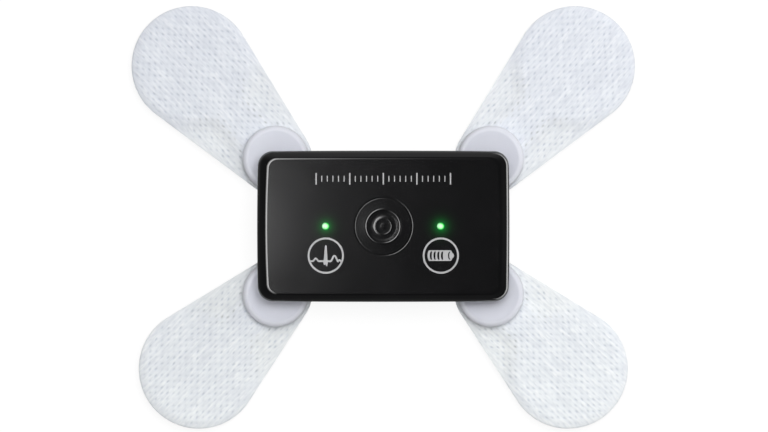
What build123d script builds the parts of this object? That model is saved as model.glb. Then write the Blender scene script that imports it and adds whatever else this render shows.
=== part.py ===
from build123d import *
import os
from math import asin, cos, radians, sin

# A Holter heart recorder that is worn on the chest, with its four snap electrodes.
# A flat black housing carries an event key, two signal lamps and a charging row.
# At each corner of the housing a round snap ear reaches out from under it.
# Each ear holds a socket that grips the stud of one drop-shaped adhesive electrode.
#
# X runs along the housing, Y across it towards its upper edge as worn, Z away from the skin.
# The origin lies on the skin plane, under the middle of the whole outline, which is a little above
# the housing's middle, because the upper electrodes reach further. Lengths are millimetres.

# Housing, seen from the front
housing_length = 65.4
housing_width = 39.2
housing_corner_radius = 3.9
housing_end_bow = 0.25
housing_side_bow = 0.15
housing_wall = 1.6
housing_depth = 13.1
rear_cover_height = 6.2
rear_floor = 1.4
rear_edge_bevel = 1.1
rear_edge_radius = 0.9
seam_chamfer = 0.15

# Front cover: a bevelled rim round a slightly crowned face
face_end_inset = 2.18
face_side_inset = 1.93
face_end_bow = 0.58
face_side_bow = 0.13
face_corner_radius = 2.1
face_crown = 0.35
bevel_drop = 1.8
bevel_inner_radius = 1.1
bevel_outer_radius = 1.4
cover_roof = 1.6

# Sealing cord between the covers
gasket_width = 0.7
gasket_height = 0.5

# Screws that hold the covers together, and the brass inserts that they bite in
cover_screw_ear_reach = 12.45
cover_screw_side_inset = 4.3
cover_screw_radius = 0.9
cover_screw_head_radius = 1.7
cover_screw_head_height = 1.1
cover_screw_head_recess = 0.15
cover_screw_bite = 3.2
cover_boss_wall = 0.9
insert_wall = 0.6
insert_length = 3.6
insert_groove_depth = 0.15
insert_groove_width = 0.5
front_boss_wall = 0.7
screw_slot_width = 0.45
screw_slot_depth = 0.5

# Event key in the middle of the face, and the switch under it
key_radius = 7.4
key_gap = 0.15
key_bead_radius = 4.4
key_bead_height = 0.26
key_bead_half_width = 0.42
key_dish_radius = 3.75
key_dish_depth = 0.25
key_dish_edge_run = 0.25
key_ring_radius = 2.1
key_ring_half_width = 0.35
key_ring_height = 0.12
key_pip_radius = 0.9
key_pip_height = 0.12
key_flange_width = 0.8
key_flange_thickness = 0.6
key_stem_radius = 1.6
key_stem_length = 0.5
key_travel = 0.3
key_rest_gap = 0.05
switch_side = 6.0
switch_case_height = 2.5
switch_case_wall = 0.5
switch_height = 3.1
switch_plunger_radius = 1.7
switch_plunger_collar = 0.5
switch_plunger_collar_height = 0.4
switch_spare_travel = 0.25

# Signal lamps and the clear rods that carry their light to the face
lamp_place_share = 0.4557
rod_radius = 0.95
rod_collar_radius = 1.5
rod_collar_height = 0.9
rod_lamp_gap = 0.15
lamp_length = 1.6
lamp_width = 0.9
lamp_height = 0.6

# Circuit board and what stands on it
board_thickness = 1.0
board_wall_gap = 0.4
board_corner_radius = 2.0
board_notch_gap = 0.3
post_radius = 1.5
post_reach = 6.7
post_angle = 77.5
board_screw_radius = 0.6
board_screw_head_radius = 1.15
board_screw_head_height = 0.5
board_screw_bite = 2.2
chip_lead_width = 0.3
chip_lead_pitch = 0.8
chip_lead_thickness = 0.2
chip_lead_reach = 0.8
chip_edge_chamfer = 0.25
front_end_chip_side = 8.0
front_end_chip_height = 1.2
processor_side = 6.4
processor_height = 1.1
memory_length = 7.0
memory_width = 5.0
memory_height = 1.0
radio_length = 9.0
radio_width = 12.0
radio_base_height = 0.6
radio_can_inset = 0.6
radio_can_height = 1.6
radio_can_edge = 0.3
crystal_length = 3.2
crystal_width = 2.5
crystal_height = 0.8
passive_length = 1.2
passive_width = 0.7
passive_height = 0.55

# Battery cell, its foam pad and its two leads
battery_end_clearance = 10.95
battery_side_clearance = 0.7
battery_board_gap = 0.75
battery_edge_radius = 1.1
battery_edge_share = 0.3
battery_pad_thickness = 0.4
battery_pad_inset = 3.0
battery_terrace_length = 2.6
battery_terrace_width = 14.0
battery_terrace_thickness = 1.8
battery_terrace_share = 0.5
lead_radius = 0.4
lead_spacing = 3.0
lead_run = 3.4
lead_bend_radius = 1.5
lead_bend_share = 0.6

# Charging pins that show on the rear face
charge_pin_count = 4
charge_pin_pitch = 2.54
charge_pin_side_inset = 4.2
charge_pin_radius = 1.0
charge_pin_head = 1.9
charge_pin_stem_radius = 0.6

# Snap ears at the corners, and the pockets of the rear cover that they sit in
ear_end_inset = 4.75
ear_side_inset = 2.05
ear_radius = 8.6
ear_thickness = 4.0
ear_proud = 0.55
ear_top_edge_radius = 1.7
ear_foot_edge_radius = 0.5
ear_pocket_gap = 0.12
ear_pocket_wall = 1.2
ear_mouth_radius = 4.1
ear_screw_reach = 5.0
ear_screw_angle = 45.0
ear_screw_radius = 0.8
ear_screw_head_radius = 1.4
ear_screw_head_height = 0.6
ear_screw_bite = 1.4
board_spring_width = 1.3
board_spring_length = 2.0
board_spring_sheet = 0.15

# Socket in each ear, with the spring ring that snaps under the stud's head
socket_wall = 0.7
socket_roof = 0.5
socket_head_gap = 0.2
socket_crown_gap = 0.45
socket_tab_radius = 1.6
socket_tab_thickness = 1.1
ring_wire_radius = 0.22
ring_neck_gap = 0.05
ring_spread = 0.3
ring_side_gap = 0.06
ring_opening_angle = 40.0

# Electrode: drop-shaped backing, foam carrier, gel pad, sensor strip, eyelet and stud
drop_big_radius = 15.6
drop_small_radius = 9.4
upper_drop_length = 32.6
lower_drop_length = 28.0
upper_electrode_angle = 47.7
lower_electrode_angle = 44.2
backing_thickness = 0.4
backing_slope_run = 1.7
carrier_thickness = 1.0
carrier_disc_radius = 13.0
carrier_tail_radius = 7.2
carrier_neck_width = 6.4
carrier_neck_fillet = 4.0
gel_radius = 10.0
strip_thickness = 0.12
strip_width = 3.6
strip_gel_radius = 6.0
strip_tail_radius = 4.2
eyelet_flange_radius = 3.6
eyelet_flange_thickness = 0.3
eyelet_post_radius = 0.8
eyelet_post_share = 0.55
stud_flange_radius = 3.3
stud_flange_thickness = 0.3
stud_neck_radius = 1.55
stud_neck_height = 1.1
stud_head_radius = 1.95
stud_head_height = 1.15
stud_crown_radius = 1.1

# Clearances and the overrun of cuts
ear_rest_gap = 0.35
screw_hole_gap = 0.1
seat_gap = 0.02
cut_overrun = 1.0

# Heights of the layers, from the skin up
backing_top_z = carrier_thickness + backing_thickness
ear_foot_z = backing_top_z + ear_rest_gap
ear_top_z = ear_foot_z + ear_thickness
rear_z = ear_foot_z + ear_proud
floor_z = rear_z + rear_floor
split_z = rear_z + rear_cover_height
cover_top_z = rear_z + housing_depth
bevel_z = cover_top_z - bevel_drop
roof_z = cover_top_z - cover_roof
ceiling_z = ear_top_z + ear_pocket_wall
key_flange_top_z = roof_z - key_rest_gap
key_flange_foot_z = key_flange_top_z - key_flange_thickness
plunger_top_z = key_flange_foot_z - key_stem_length
board_top_z = plunger_top_z - switch_height
board_foot_z = board_top_z - board_thickness
battery_foot_z = floor_z + battery_pad_thickness
battery_top_z = board_foot_z - battery_board_gap

# Places that follow from the housing's outline
ear_x = housing_length / 2 - ear_end_inset
ear_y = housing_width / 2 - ear_side_inset
cover_screw_x = ear_x - cover_screw_ear_reach
cover_screw_y = housing_width / 2 - cover_screw_side_inset
charge_pin_y = housing_width / 2 - charge_pin_side_inset
lamp_x = lamp_place_share * housing_length / 2

# Radii that follow from a piece and its clearance
ear_pocket_radius = ear_radius + ear_pocket_gap
key_hole_radius = key_radius + key_gap
cover_screw_hole_radius = cover_screw_radius + screw_hole_gap
insert_radius = cover_screw_radius + insert_wall
front_boss_radius = insert_radius + front_boss_wall
rear_boss_radius = cover_screw_head_radius + cover_boss_wall
ring_path_radius = stud_neck_radius + ring_neck_gap + ring_wire_radius
socket_bore_radius = stud_head_radius + socket_head_gap
socket_groove_radius = ring_path_radius + ring_wire_radius + ring_spread
socket_radius = socket_groove_radius + socket_wall

# The cell fills the room between the ear pockets and between the screw bosses
battery_length = 2 * (ear_x - battery_end_clearance)
battery_width = 2 * (cover_screw_y - rear_boss_radius - battery_side_clearance)

# Places, seen from the front: each corner as (side along X, side along Y)
corners = {
    "upper_left": (-1, 1),
    "upper_right": (1, 1),
    "lower_left": (-1, -1),
    "lower_right": (1, -1),
}
ear_places = {name: (sx * ear_x, sy * ear_y) for name, (sx, sy) in corners.items()}
drop_lengths = {1: upper_drop_length, -1: lower_drop_length}
electrode_angles = {1: upper_electrode_angle, -1: lower_electrode_angle}
cover_screw_places = [(sx * cover_screw_x, sy * cover_screw_y) for sx, sy in corners.values()]
lamp_places = [(-lamp_x, 0), (lamp_x, 0)]


def inward_place(corner, reach, angle):
    """A place that lies inward of a corner's ear centre, by a reach at an angle from X."""
    sx, sy = corners[corner]
    x, y = ear_places[corner]
    return (x - sx * reach * cos(radians(angle)), y - sy * reach * sin(radians(angle)))


ear_screw_places = [inward_place(name, ear_screw_reach, ear_screw_angle) for name in corners]
post_places = [inward_place(name, post_reach, post_angle) for name in corners]
charge_pin_places = [
    ((i - (charge_pin_count - 1) / 2) * charge_pin_pitch, -charge_pin_y)
    for i in range(charge_pin_count)
]


def electrode_reach_y(side):
    """How far the electrodes of the upper or the lower side reach from the housing's middle."""
    return ear_y + drop_lengths[side] * sin(radians(electrode_angles[side])) + drop_big_radius


outline_middle_y = (electrode_reach_y(1) - electrode_reach_y(-1)) / 2


def at(place, z=0):
    """Location of a place at a height."""
    return Pos(place[0], place[1], z)


def rod(radius, foot, top, place=(0, 0)):
    """Upright cylinder between two heights."""
    return at(place, foot) * Cylinder(radius, top - foot, align=(Align.CENTER, Align.CENTER, Align.MIN))


def block(length, width, foot, top, place=(0, 0)):
    """Upright box between two heights."""
    return at(place, foot) * Box(length, width, top - foot, align=(Align.CENTER, Align.CENTER, Align.MIN))


def prism(sketch, foot, top):
    """A flat outline pulled up between two heights."""
    return extrude(Pos(0, 0, foot) * sketch, top - foot)


def group(solids):
    """Several separate solids as one node."""
    return Compound([s for shape in solids for s in shape.solids()])


def edges_at(shape, z):
    """A shape's level edges at a height."""
    return shape.edges().filter_by_position(Axis.Z, z - seat_gap, z + seat_gap)


def save(shape, name):
    """Writes one node, which is made round the housing's middle, in the shared frame."""
    export_step(Pos(0, -outline_middle_y, 0) * shape, f"parts/{name}.step")


def bowed_outline(length, width, end_bow, side_bow, radius):
    """A rectangle whose sides bow outwards a little, with rounded corners."""
    x = length / 2 - end_bow
    y = width / 2 - side_bow
    points = [(-x, -y), (x, -y), (x, y), (-x, y)]
    middles = [(0, -width / 2), (length / 2, 0), (0, width / 2), (-length / 2, 0)]
    sides = [ThreePointArc(points[i], middles[i], points[(i + 1) % 4]) for i in range(4)]
    face = make_face(Curve() + sides)
    return fillet(face.vertices(), radius)


def housing_outline(inset):
    """The housing's outline, moved inwards by an inset."""
    return bowed_outline(
        housing_length - 2 * inset,
        housing_width - 2 * inset,
        housing_end_bow,
        housing_side_bow,
        housing_corner_radius - inset,
    )


def crown_block():
    """All that lies under the crowned face of the front cover."""
    half_length = housing_length / 2 - face_end_inset
    radius = half_length**2 / (2 * face_crown)
    long_bar = Cylinder(radius, 2 * housing_width)
    return Pos(0, 0, cover_top_z - radius) * Rot(90, 0, 0) * long_bar


def front_cover():
    """Glossy bevelled shell with holes for the key and the light rods, and four screw bosses."""
    rim = housing_outline(0)
    face = bowed_outline(
        housing_length - 2 * face_end_inset,
        housing_width - 2 * face_side_inset,
        face_end_bow,
        face_side_bow,
        face_corner_radius,
    )
    lower = prism(rim, split_z, bevel_z)
    upper = loft([Pos(0, 0, bevel_z) * rim, Pos(0, 0, cover_top_z) * face], ruled=True)
    shell = (lower + upper) & crown_block()
    shell = fillet(shell.faces().sort_by(Axis.Z)[-1].edges(), bevel_inner_radius)
    shell = fillet(edges_at(shell, bevel_z), bevel_outer_radius)
    shell = chamfer(shell.faces().sort_by(Axis.Z)[0].edges(), seam_chamfer)
    shell -= prism(housing_outline(housing_wall), split_z - cut_overrun, roof_z)
    for place in cover_screw_places:
        shell += rod(front_boss_radius, split_z, roof_z, place)
        bore_top_z = split_z + max(insert_length, cover_screw_bite) + seat_gap
        shell -= rod(insert_radius + seat_gap, split_z - cut_overrun, bore_top_z, place)
    shell -= rod(key_hole_radius, roof_z - cut_overrun, cover_top_z + cut_overrun)
    for place in lamp_places:
        shell -= rod(rod_radius + seat_gap, roof_z - cut_overrun, cover_top_z + cut_overrun, place)
    return shell


def rear_cover():
    """Tray with a pocket at each corner for an ear, screw bosses and board posts."""
    outside = prism(housing_outline(0), rear_z, split_z)
    outside = chamfer(outside.faces().sort_by(Axis.Z)[0].edges(), rear_edge_bevel)
    outside = fillet(edges_at(outside, rear_z + rear_edge_bevel), rear_edge_radius)
    outside = chamfer(outside.faces().sort_by(Axis.Z)[-1].edges(), seam_chamfer)
    tray = outside - prism(housing_outline(housing_wall), floor_z, split_z + cut_overrun)
    room = prism(housing_outline(housing_wall / 2), floor_z - rear_floor / 2, split_z)
    for place in ear_places.values():
        tray += rod(ear_pocket_radius + ear_pocket_wall, rear_z, ceiling_z, place) & room
    for place in post_places:
        tray += rod(post_radius, ear_top_z, board_foot_z, place)
    for place in cover_screw_places:
        tray += rod(rear_boss_radius, rear_z, split_z, place) & room
    for place in ear_places.values():
        tray -= rod(ear_pocket_radius, rear_z - cut_overrun, ear_top_z, place)
    ear_screw_hole_radius = ear_screw_radius + screw_hole_gap
    for place in ear_screw_places:
        tray -= rod(ear_screw_hole_radius, ear_top_z - cut_overrun, ceiling_z + cut_overrun, place)
    for place in post_places:
        tip_z = board_top_z - board_screw_bite - board_thickness
        post_bore_radius = board_screw_radius + seat_gap
        tray -= rod(post_bore_radius, tip_z - screw_hole_gap, board_foot_z + cut_overrun, place)
    for place in cover_screw_places:
        seat_z = rear_z + cover_screw_head_recess + cover_screw_head_height
        tray -= rod(cover_screw_hole_radius, rear_z - cut_overrun, split_z + cut_overrun, place)
        tray -= rod(cover_screw_head_radius + screw_hole_gap, rear_z - cut_overrun, seat_z, place)
    for place in charge_pin_places:
        tray -= rod(charge_pin_radius + seat_gap, rear_z - cut_overrun, floor_z + cut_overrun, place)
    tray -= gasket_ring(seat_gap)
    return tray


def gasket_ring(gap):
    """The sealing cord's closed ring, grown by a gap on its sides and below."""
    inset = (housing_wall - gasket_width) / 2
    outer = housing_outline(inset - gap)
    inner = housing_outline(inset + gasket_width + gap)
    return prism(outer - inner, split_z - gasket_height - gap, split_z)


def pan_screw(place, seat_z, tip_z, head_top_z, radius, head_radius, slot_width, slot_depth):
    """A screw whose head lies between its seat and its outer face, slotted there, either way up."""
    low, high = sorted((seat_z, head_top_z))
    head = rod(head_radius, low, high, place)
    rim = head.edges().filter_by(GeomType.CIRCLE).sort_by(Axis.Z)[-1 if head_top_z > seat_z else 0]
    head = fillet(rim, slot_depth / 2)
    shank = rod(radius, *sorted((seat_z, tip_z)), place)
    inwards = -1 if head_top_z > seat_z else 1
    slot_ends = sorted((head_top_z, head_top_z + inwards * slot_depth))
    slot = block(2 * head_radius + cut_overrun, slot_width, *slot_ends, place)
    return head + shank - slot


def cover_screws():
    """Four screws from the rear face into the inserts."""
    head_top = rear_z + cover_screw_head_recess
    seat = head_top + cover_screw_head_height
    return group(
        pan_screw(
            place,
            seat,
            split_z + cover_screw_bite,
            head_top,
            cover_screw_radius,
            cover_screw_head_radius,
            screw_slot_width,
            screw_slot_depth,
        )
        for place in cover_screw_places
    )


def cover_inserts():
    """Grooved brass inserts, pressed into the front cover's bosses."""
    inserts = []
    for place in cover_screw_places:
        insert = rod(insert_radius, split_z, split_z + insert_length, place)
        groove_foot = split_z + (insert_length - insert_groove_width) / 2
        groove_top = groove_foot + insert_groove_width
        groove = rod(insert_radius, groove_foot, groove_top, place)
        groove -= rod(insert_radius - insert_groove_depth, groove_foot, groove_top, place)
        insert -= groove
        bore_top = split_z + insert_length + cut_overrun
        insert -= rod(cover_screw_radius + seat_gap, split_z - cut_overrun, bore_top, place)
        inserts.append(insert)
    return group(inserts)


def arc_middle(rim_radius, height):
    """Radius and height of the point half way along a cap's arc, from its rim to its top."""
    curve = (rim_radius**2 + height**2) / (2 * height)
    half_turn = asin(rim_radius / curve) / 2
    return curve * sin(half_turn), height - curve * (1 - cos(half_turn))


def event_key():
    """Round key with a raised bead, a low ring and pip in its shallow dish, a stop flange and a short stem."""
    top = cover_top_z
    bead_in = key_bead_radius - key_bead_half_width
    bead_out = key_bead_radius + key_bead_half_width
    bead_peak = (key_bead_radius, top + key_bead_height)
    dish_floor_z = top - key_dish_depth
    dish_floor_radius = key_dish_radius - key_dish_edge_run
    ring_in = key_ring_radius - key_ring_half_width
    ring_out = key_ring_radius + key_ring_half_width
    ring_peak = (key_ring_radius, dish_floor_z + key_ring_height)
    pip_middle_radius, pip_middle_height = arc_middle(key_pip_radius, key_pip_height)
    flange_radius = key_hole_radius + key_flange_width
    stem_foot_z = plunger_top_z + key_rest_gap
    profile = Curve() + [
        Line((0, stem_foot_z), (key_stem_radius, stem_foot_z)),
        Line((key_stem_radius, stem_foot_z), (key_stem_radius, key_flange_foot_z)),
        Line((key_stem_radius, key_flange_foot_z), (flange_radius, key_flange_foot_z)),
        Line((flange_radius, key_flange_foot_z), (flange_radius, key_flange_top_z)),
        Line((flange_radius, key_flange_top_z), (key_radius, key_flange_top_z)),
        Line((key_radius, key_flange_top_z), (key_radius, top)),
        Line((key_radius, top), (bead_out, top)),
        ThreePointArc((bead_out, top), bead_peak, (bead_in, top)),
        Line((bead_in, top), (key_dish_radius, top)),
        Line((key_dish_radius, top), (dish_floor_radius, dish_floor_z)),
        Line((dish_floor_radius, dish_floor_z), (ring_out, dish_floor_z)),
        ThreePointArc((ring_out, dish_floor_z), ring_peak, (ring_in, dish_floor_z)),
        Line((ring_in, dish_floor_z), (key_pip_radius, dish_floor_z)),
        ThreePointArc(
            (key_pip_radius, dish_floor_z),
            (pip_middle_radius, dish_floor_z + pip_middle_height),
            (0, dish_floor_z + key_pip_height),
        ),
        Line((0, dish_floor_z + key_pip_height), (0, stem_foot_z)),
    ]
    key = revolve(make_face(Plane.XZ * profile), Axis.Z)
    outer_edge = edges_at(key, top).filter_by(GeomType.CIRCLE).sort_by(SortBy.RADIUS)[-1]
    return chamfer(outer_edge, seam_chamfer)


def switch_case():
    """Square case of the push switch, open at the top for its plunger."""
    case = block(switch_side, switch_side, board_top_z, board_top_z + switch_case_height)
    case = chamfer(case.edges().filter_by(Axis.Z), switch_case_wall / 2)
    collar_top = board_top_z + switch_case_height - switch_case_wall
    collar_foot = collar_top - switch_plunger_collar_height - key_travel - switch_spare_travel
    case -= rod(switch_plunger_radius + switch_plunger_collar + screw_hole_gap, collar_foot, collar_top)
    mouth_top = board_top_z + switch_case_height + cut_overrun
    case -= rod(switch_plunger_radius + screw_hole_gap, collar_foot, mouth_top)
    return case


def switch_plunger():
    """Plunger that the key pushes, with a collar that keeps it in its case."""
    collar_top = board_top_z + switch_case_height - switch_case_wall - key_rest_gap
    collar_foot = collar_top - switch_plunger_collar_height
    collar = rod(switch_plunger_radius + switch_plunger_collar, collar_foot, collar_top)
    return collar + rod(switch_plunger_radius, collar_foot, plunger_top_z)


def light_rods():
    """Clear rods from the lamps to the face, each held by a collar under the roof."""
    rods = []
    lamp_top_z = board_top_z + lamp_height
    for place in lamp_places:
        light_rod = rod(rod_radius, lamp_top_z + rod_lamp_gap, cover_top_z, place) & crown_block()
        light_rod += rod(rod_collar_radius, roof_z - rod_collar_height, roof_z, place)
        rods.append(light_rod)
    return group(rods)


def signal_lamps():
    """Two lamp chips, each with a small lens."""
    lamps = []
    for place in lamp_places:
        base_top = board_top_z + lamp_height / 2
        lamp = block(lamp_length, lamp_width, board_top_z, base_top, place)
        lamp += rod(lamp_width / 3, base_top, board_top_z + lamp_height, place)
        lamps.append(lamp)
    return group(lamps)


def board_outline():
    """The board's outline, set in from the housing's inner wall."""
    inset = housing_wall + board_wall_gap
    return bowed_outline(
        housing_length - 2 * inset,
        housing_width - 2 * inset,
        housing_end_bow,
        housing_side_bow,
        board_corner_radius,
    )


def main_board():
    """Circuit board with notches round the screw bosses and holes for its own screws."""
    board = prism(board_outline(), board_foot_z, board_top_z)
    below, above = board_foot_z - cut_overrun, board_top_z + cut_overrun
    notch_radius = front_boss_radius + board_notch_gap
    for x, y in cover_screw_places:
        board -= rod(notch_radius, below, above, (x, y))
        edge_y = y / abs(y) * (housing_width / 2 - housing_wall)
        board -= block(2 * notch_radius, abs(edge_y - y), below, above, (x, (y + edge_y) / 2))
    for place in post_places:
        board -= rod(board_screw_radius + screw_hole_gap, below, above, place)
    return board


def board_screws():
    """Four small screws that hold the board on its posts."""
    return group(
        pan_screw(
            place,
            board_top_z,
            board_top_z - board_thickness - board_screw_bite,
            board_top_z + board_screw_head_height,
            board_screw_radius,
            board_screw_head_radius,
            board_screw_radius / 2,
            board_screw_head_height / 2,
        )
        for place in post_places
    )


board_half_length = housing_length / 2 - housing_wall - board_wall_gap
board_half_width = housing_width / 2 - housing_wall - board_wall_gap

# Where the components stand, as shares of the board's half length and half width
front_end_chip_shares = (-0.76, 0.0)
processor_shares = (0.0, 0.58)
memory_shares = (0.0, -0.56)
radio_shares = (0.76, 0.0)
crystal_shares = (-0.24, 0.52)
passive_shares = [
    (-0.90, 0.38),
    (-0.76, 0.38),
    (-0.62, 0.38),
    (-0.90, -0.38),
    (-0.76, -0.38),
    (-0.62, -0.38),
    (-0.30, 0.80),
    (-0.22, 0.80),
    (0.22, 0.44),
    (0.22, 0.58),
    (0.22, 0.72),
    (0.32, 0.44),
    (0.32, 0.58),
    (-0.22, -0.44),
    (-0.22, -0.58),
    (-0.22, -0.72),
    (0.22, -0.44),
    (0.22, -0.58),
    (0.22, -0.72),
    (0.60, 0.56),
    (0.60, -0.56),
]


def board_place(shares):
    """A place on the board from its shares."""
    return (shares[0] * board_half_length, shares[1] * board_half_width)


def leaded_chip(length, width, height, shares):
    """Flat chip package with gull-wing leads along its two long sides."""
    place = board_place(shares)
    body_foot = board_top_z + chip_lead_thickness
    body = block(length, width, body_foot, board_top_z + height, place)
    body = chamfer(body.faces().sort_by(Axis.Z)[-1].edges(), chip_edge_chamfer)
    count = int((length - chip_lead_width) / chip_lead_pitch)
    step = (length - 2 * chip_lead_width) / count
    span = width + 2 * chip_lead_reach
    for i in range(count):
        x = place[0] + (i - (count - 1) / 2) * step
        body += block(chip_lead_width, span, board_top_z, body_foot, (x, place[1]))
        knee_top = board_top_z + height / 2
        body += block(chip_lead_width, width + chip_lead_reach, board_top_z, knee_top, (x, place[1]))
    return body


def ecg_input_chip():
    """Chip that amplifies and samples the heart's signal."""
    side = front_end_chip_side
    return leaded_chip(side, side, front_end_chip_height, front_end_chip_shares)


def processor_chip():
    """Chip that runs the recorder."""
    return leaded_chip(processor_side, processor_side, processor_height, processor_shares)


def memory_chip():
    """Chip that stores the recording."""
    return leaded_chip(memory_length, memory_width, memory_height, memory_shares)


def radio_module():
    """Radio module: a small carrier board under a metal can, as one soldered part."""
    place = board_place(radio_shares)
    base = block(radio_length, radio_width, board_top_z, board_top_z + radio_base_height, place)
    can_top = board_top_z + radio_base_height + radio_can_height
    can_length = radio_length - 2 * radio_can_inset
    can_width = radio_width - 2 * radio_can_inset - radio_length / 4
    can_place = (place[0], place[1] - radio_length / 8)
    can = block(can_length, can_width, board_top_z + radio_base_height, can_top, can_place)
    can = fillet(can.faces().sort_by(Axis.Z)[-1].edges(), radio_can_edge)
    return base + can


def clock_crystal():
    """Metal-lidded crystal."""
    place = board_place(crystal_shares)
    can = block(crystal_length, crystal_width, board_top_z, board_top_z + crystal_height, place)
    return fillet(can.faces().sort_by(Axis.Z)[-1].edges(), crystal_height / 4)


def board_passives():
    """Resistors and capacitors as separate small solids."""
    return group(
        block(passive_length, passive_width, board_top_z, board_top_z + passive_height, board_place(shares))
        for shares in passive_shares
    )


def battery_cell():
    """Flat pouch cell with rounded edges and a narrow terrace for its leads."""
    cell = block(battery_length, battery_width, battery_foot_z, battery_top_z)
    thickness = battery_top_z - battery_foot_z
    edge_radius = min(battery_edge_radius, battery_edge_share * thickness)
    cell = fillet(cell.edges().filter_by(Axis.X), edge_radius)
    terrace_thickness = min(battery_terrace_thickness, battery_terrace_share * thickness)
    middle_z = (battery_foot_z + battery_top_z) / 2
    terrace_place = (battery_length / 2 + battery_terrace_length / 2, 0)
    cell += block(
        battery_terrace_length,
        battery_terrace_width,
        middle_z - terrace_thickness / 2,
        middle_z + terrace_thickness / 2,
        terrace_place,
    )
    return cell


def battery_pad():
    """Thin sticky foam pad under the cell."""
    length = battery_length - 2 * battery_pad_inset
    width = battery_width - 2 * battery_pad_inset
    return block(length, width, floor_z, battery_foot_z)


def battery_leads():
    """Two leads from the cell's terrace, bent up to the board's underside."""
    leads = []
    start_x = battery_length / 2 + battery_terrace_length
    middle_z = (battery_foot_z + battery_top_z) / 2
    bend_radius = min(lead_bend_radius, lead_bend_share * (board_foot_z - middle_z))
    for side in (-1, 1):
        y = side * lead_spacing / 2
        route = FilletPolyline(
            (start_x, y, middle_z),
            (start_x + lead_run, y, middle_z),
            (start_x + lead_run, y, board_foot_z),
            radius=bend_radius,
        )
        section = Plane(origin=(start_x, y, middle_z), z_dir=(1, 0, 0)) * Circle(lead_radius)
        leads.append(sweep(section, path=route))
    return group(leads)


def charge_pins():
    """A row of plated pins, flush with the rear face and soldered to the board."""
    pins = []
    for place in charge_pin_places:
        head_top = rear_z + charge_pin_head
        pin = rod(charge_pin_radius, rear_z, head_top, place)
        pin += rod(charge_pin_stem_radius, head_top, board_foot_z, place)
        pins.append(pin)
    return group(pins)


def snap_ear(corner):
    """Round moulded ear with a cavity for its socket and a clearance hole for its screw."""
    place = ear_places[corner]
    ear = rod(ear_radius, ear_foot_z, ear_top_z, place)
    ear = fillet(ear.edges().filter_by(GeomType.CIRCLE).sort_by(Axis.Z)[-1], ear_top_edge_radius)
    ear = fillet(ear.edges().filter_by(GeomType.CIRCLE).sort_by(Axis.Z)[0], ear_foot_edge_radius)
    ear -= rod(ear_mouth_radius, ear_foot_z - cut_overrun, socket_foot_z, place)
    ear -= rod(socket_radius, ear_foot_z, socket_top_z, place)
    ear -= socket_tab(corner)
    screw_place = inward_place(corner, ear_screw_reach, ear_screw_angle)
    hole_foot_z = ear_screw_tip_z - screw_hole_gap
    ear -= rod(ear_screw_radius + screw_hole_gap, hole_foot_z, ear_top_z + cut_overrun, screw_place)
    return ear


# Heights inside the ear
stud_flange_top_z = backing_top_z + stud_flange_thickness
stud_neck_top_z = stud_flange_top_z + stud_neck_height
stud_top_z = stud_neck_top_z + stud_head_height
socket_foot_z = stud_flange_top_z + ear_rest_gap
ring_z = stud_neck_top_z - ring_side_gap - ring_wire_radius
groove_foot_z = ring_z - ring_wire_radius - ring_side_gap
groove_top_z = ring_z + ring_wire_radius + ring_side_gap
socket_bore_z = stud_top_z + socket_crown_gap
socket_top_z = socket_bore_z + socket_roof
socket_tab_z = socket_top_z - socket_tab_thickness
ear_screw_tip_z = socket_top_z - ear_screw_bite


def socket_tab(corner):
    """Tab at the top of the socket that its screw bites in."""
    x, y = ear_places[corner]
    tip_x, tip_y = inward_place(corner, ear_screw_reach, ear_screw_angle)
    angle = ear_angle(corner)
    tab = rod(socket_tab_radius, socket_tab_z, socket_top_z, (tip_x, tip_y))
    from_axis = (Align.MIN, Align.CENTER, Align.MIN)
    bar = Box(ear_screw_reach, 2 * socket_tab_radius, socket_tab_thickness, align=from_axis)
    return tab + Pos(x, y, socket_tab_z) * Rot(0, 0, angle) * bar


def ear_angle(corner):
    """Direction, in degrees from X, from an ear's centre towards its screw."""
    sx, sy = corners[corner]
    inward = {(-1, 1): -ear_screw_angle, (1, 1): 180 + ear_screw_angle}
    inward |= {(-1, -1): ear_screw_angle, (1, -1): 180 - ear_screw_angle}
    return inward[(sx, sy)]


def snap_socket(corner):
    """Turned metal cup with a lip, a groove for the spring ring and a tapped tab."""
    place = ear_places[corner]
    cup = rod(socket_radius, socket_foot_z, socket_top_z, place)
    cup += socket_tab(corner)
    cup -= rod(socket_bore_radius, socket_foot_z - cut_overrun, socket_bore_z, place)
    cup -= rod(socket_groove_radius, groove_foot_z, groove_top_z, place)
    screw_place = inward_place(corner, ear_screw_reach, ear_screw_angle)
    thread_top_z = socket_top_z + cut_overrun
    cup -= rod(ear_screw_radius + seat_gap, socket_tab_z - cut_overrun, thread_top_z, screw_place)
    return cup


def snap_ring(corner):
    """Open wire ring that snaps under the head of the stud."""
    x, y = ear_places[corner]
    turn = 360 - ring_opening_angle
    section = Plane.XZ * Pos(ring_path_radius, ring_z) * Circle(ring_wire_radius)
    ring = revolve(section, Axis.Z, turn)
    return Pos(x, y, 0) * Rot(0, 0, ring_opening_angle / 2) * ring


def ear_screws():
    """Screws from inside the housing that hold the ears and carry their signals."""
    return group(
        pan_screw(
            place,
            ceiling_z,
            ear_screw_tip_z,
            ceiling_z + ear_screw_head_height,
            ear_screw_radius,
            ear_screw_head_radius,
            ear_screw_radius / 2,
            ear_screw_head_height / 2,
        )
        for place in ear_screw_places
    )


def board_springs():
    """Bent contact springs between the board and the heads of the ear screws."""
    springs = []
    foot = ceiling_z + ear_screw_head_height
    for place in ear_screw_places:
        side = place[0] / abs(place[0])
        spring = block(board_spring_length, board_spring_width, foot, board_foot_z, place)
        spring -= block(
            board_spring_length,
            board_spring_width + cut_overrun,
            foot + board_spring_sheet,
            board_foot_z - board_spring_sheet,
            (place[0] - side * board_spring_sheet, place[1]),
        )
        springs.append(spring)
    return group(springs)


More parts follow.
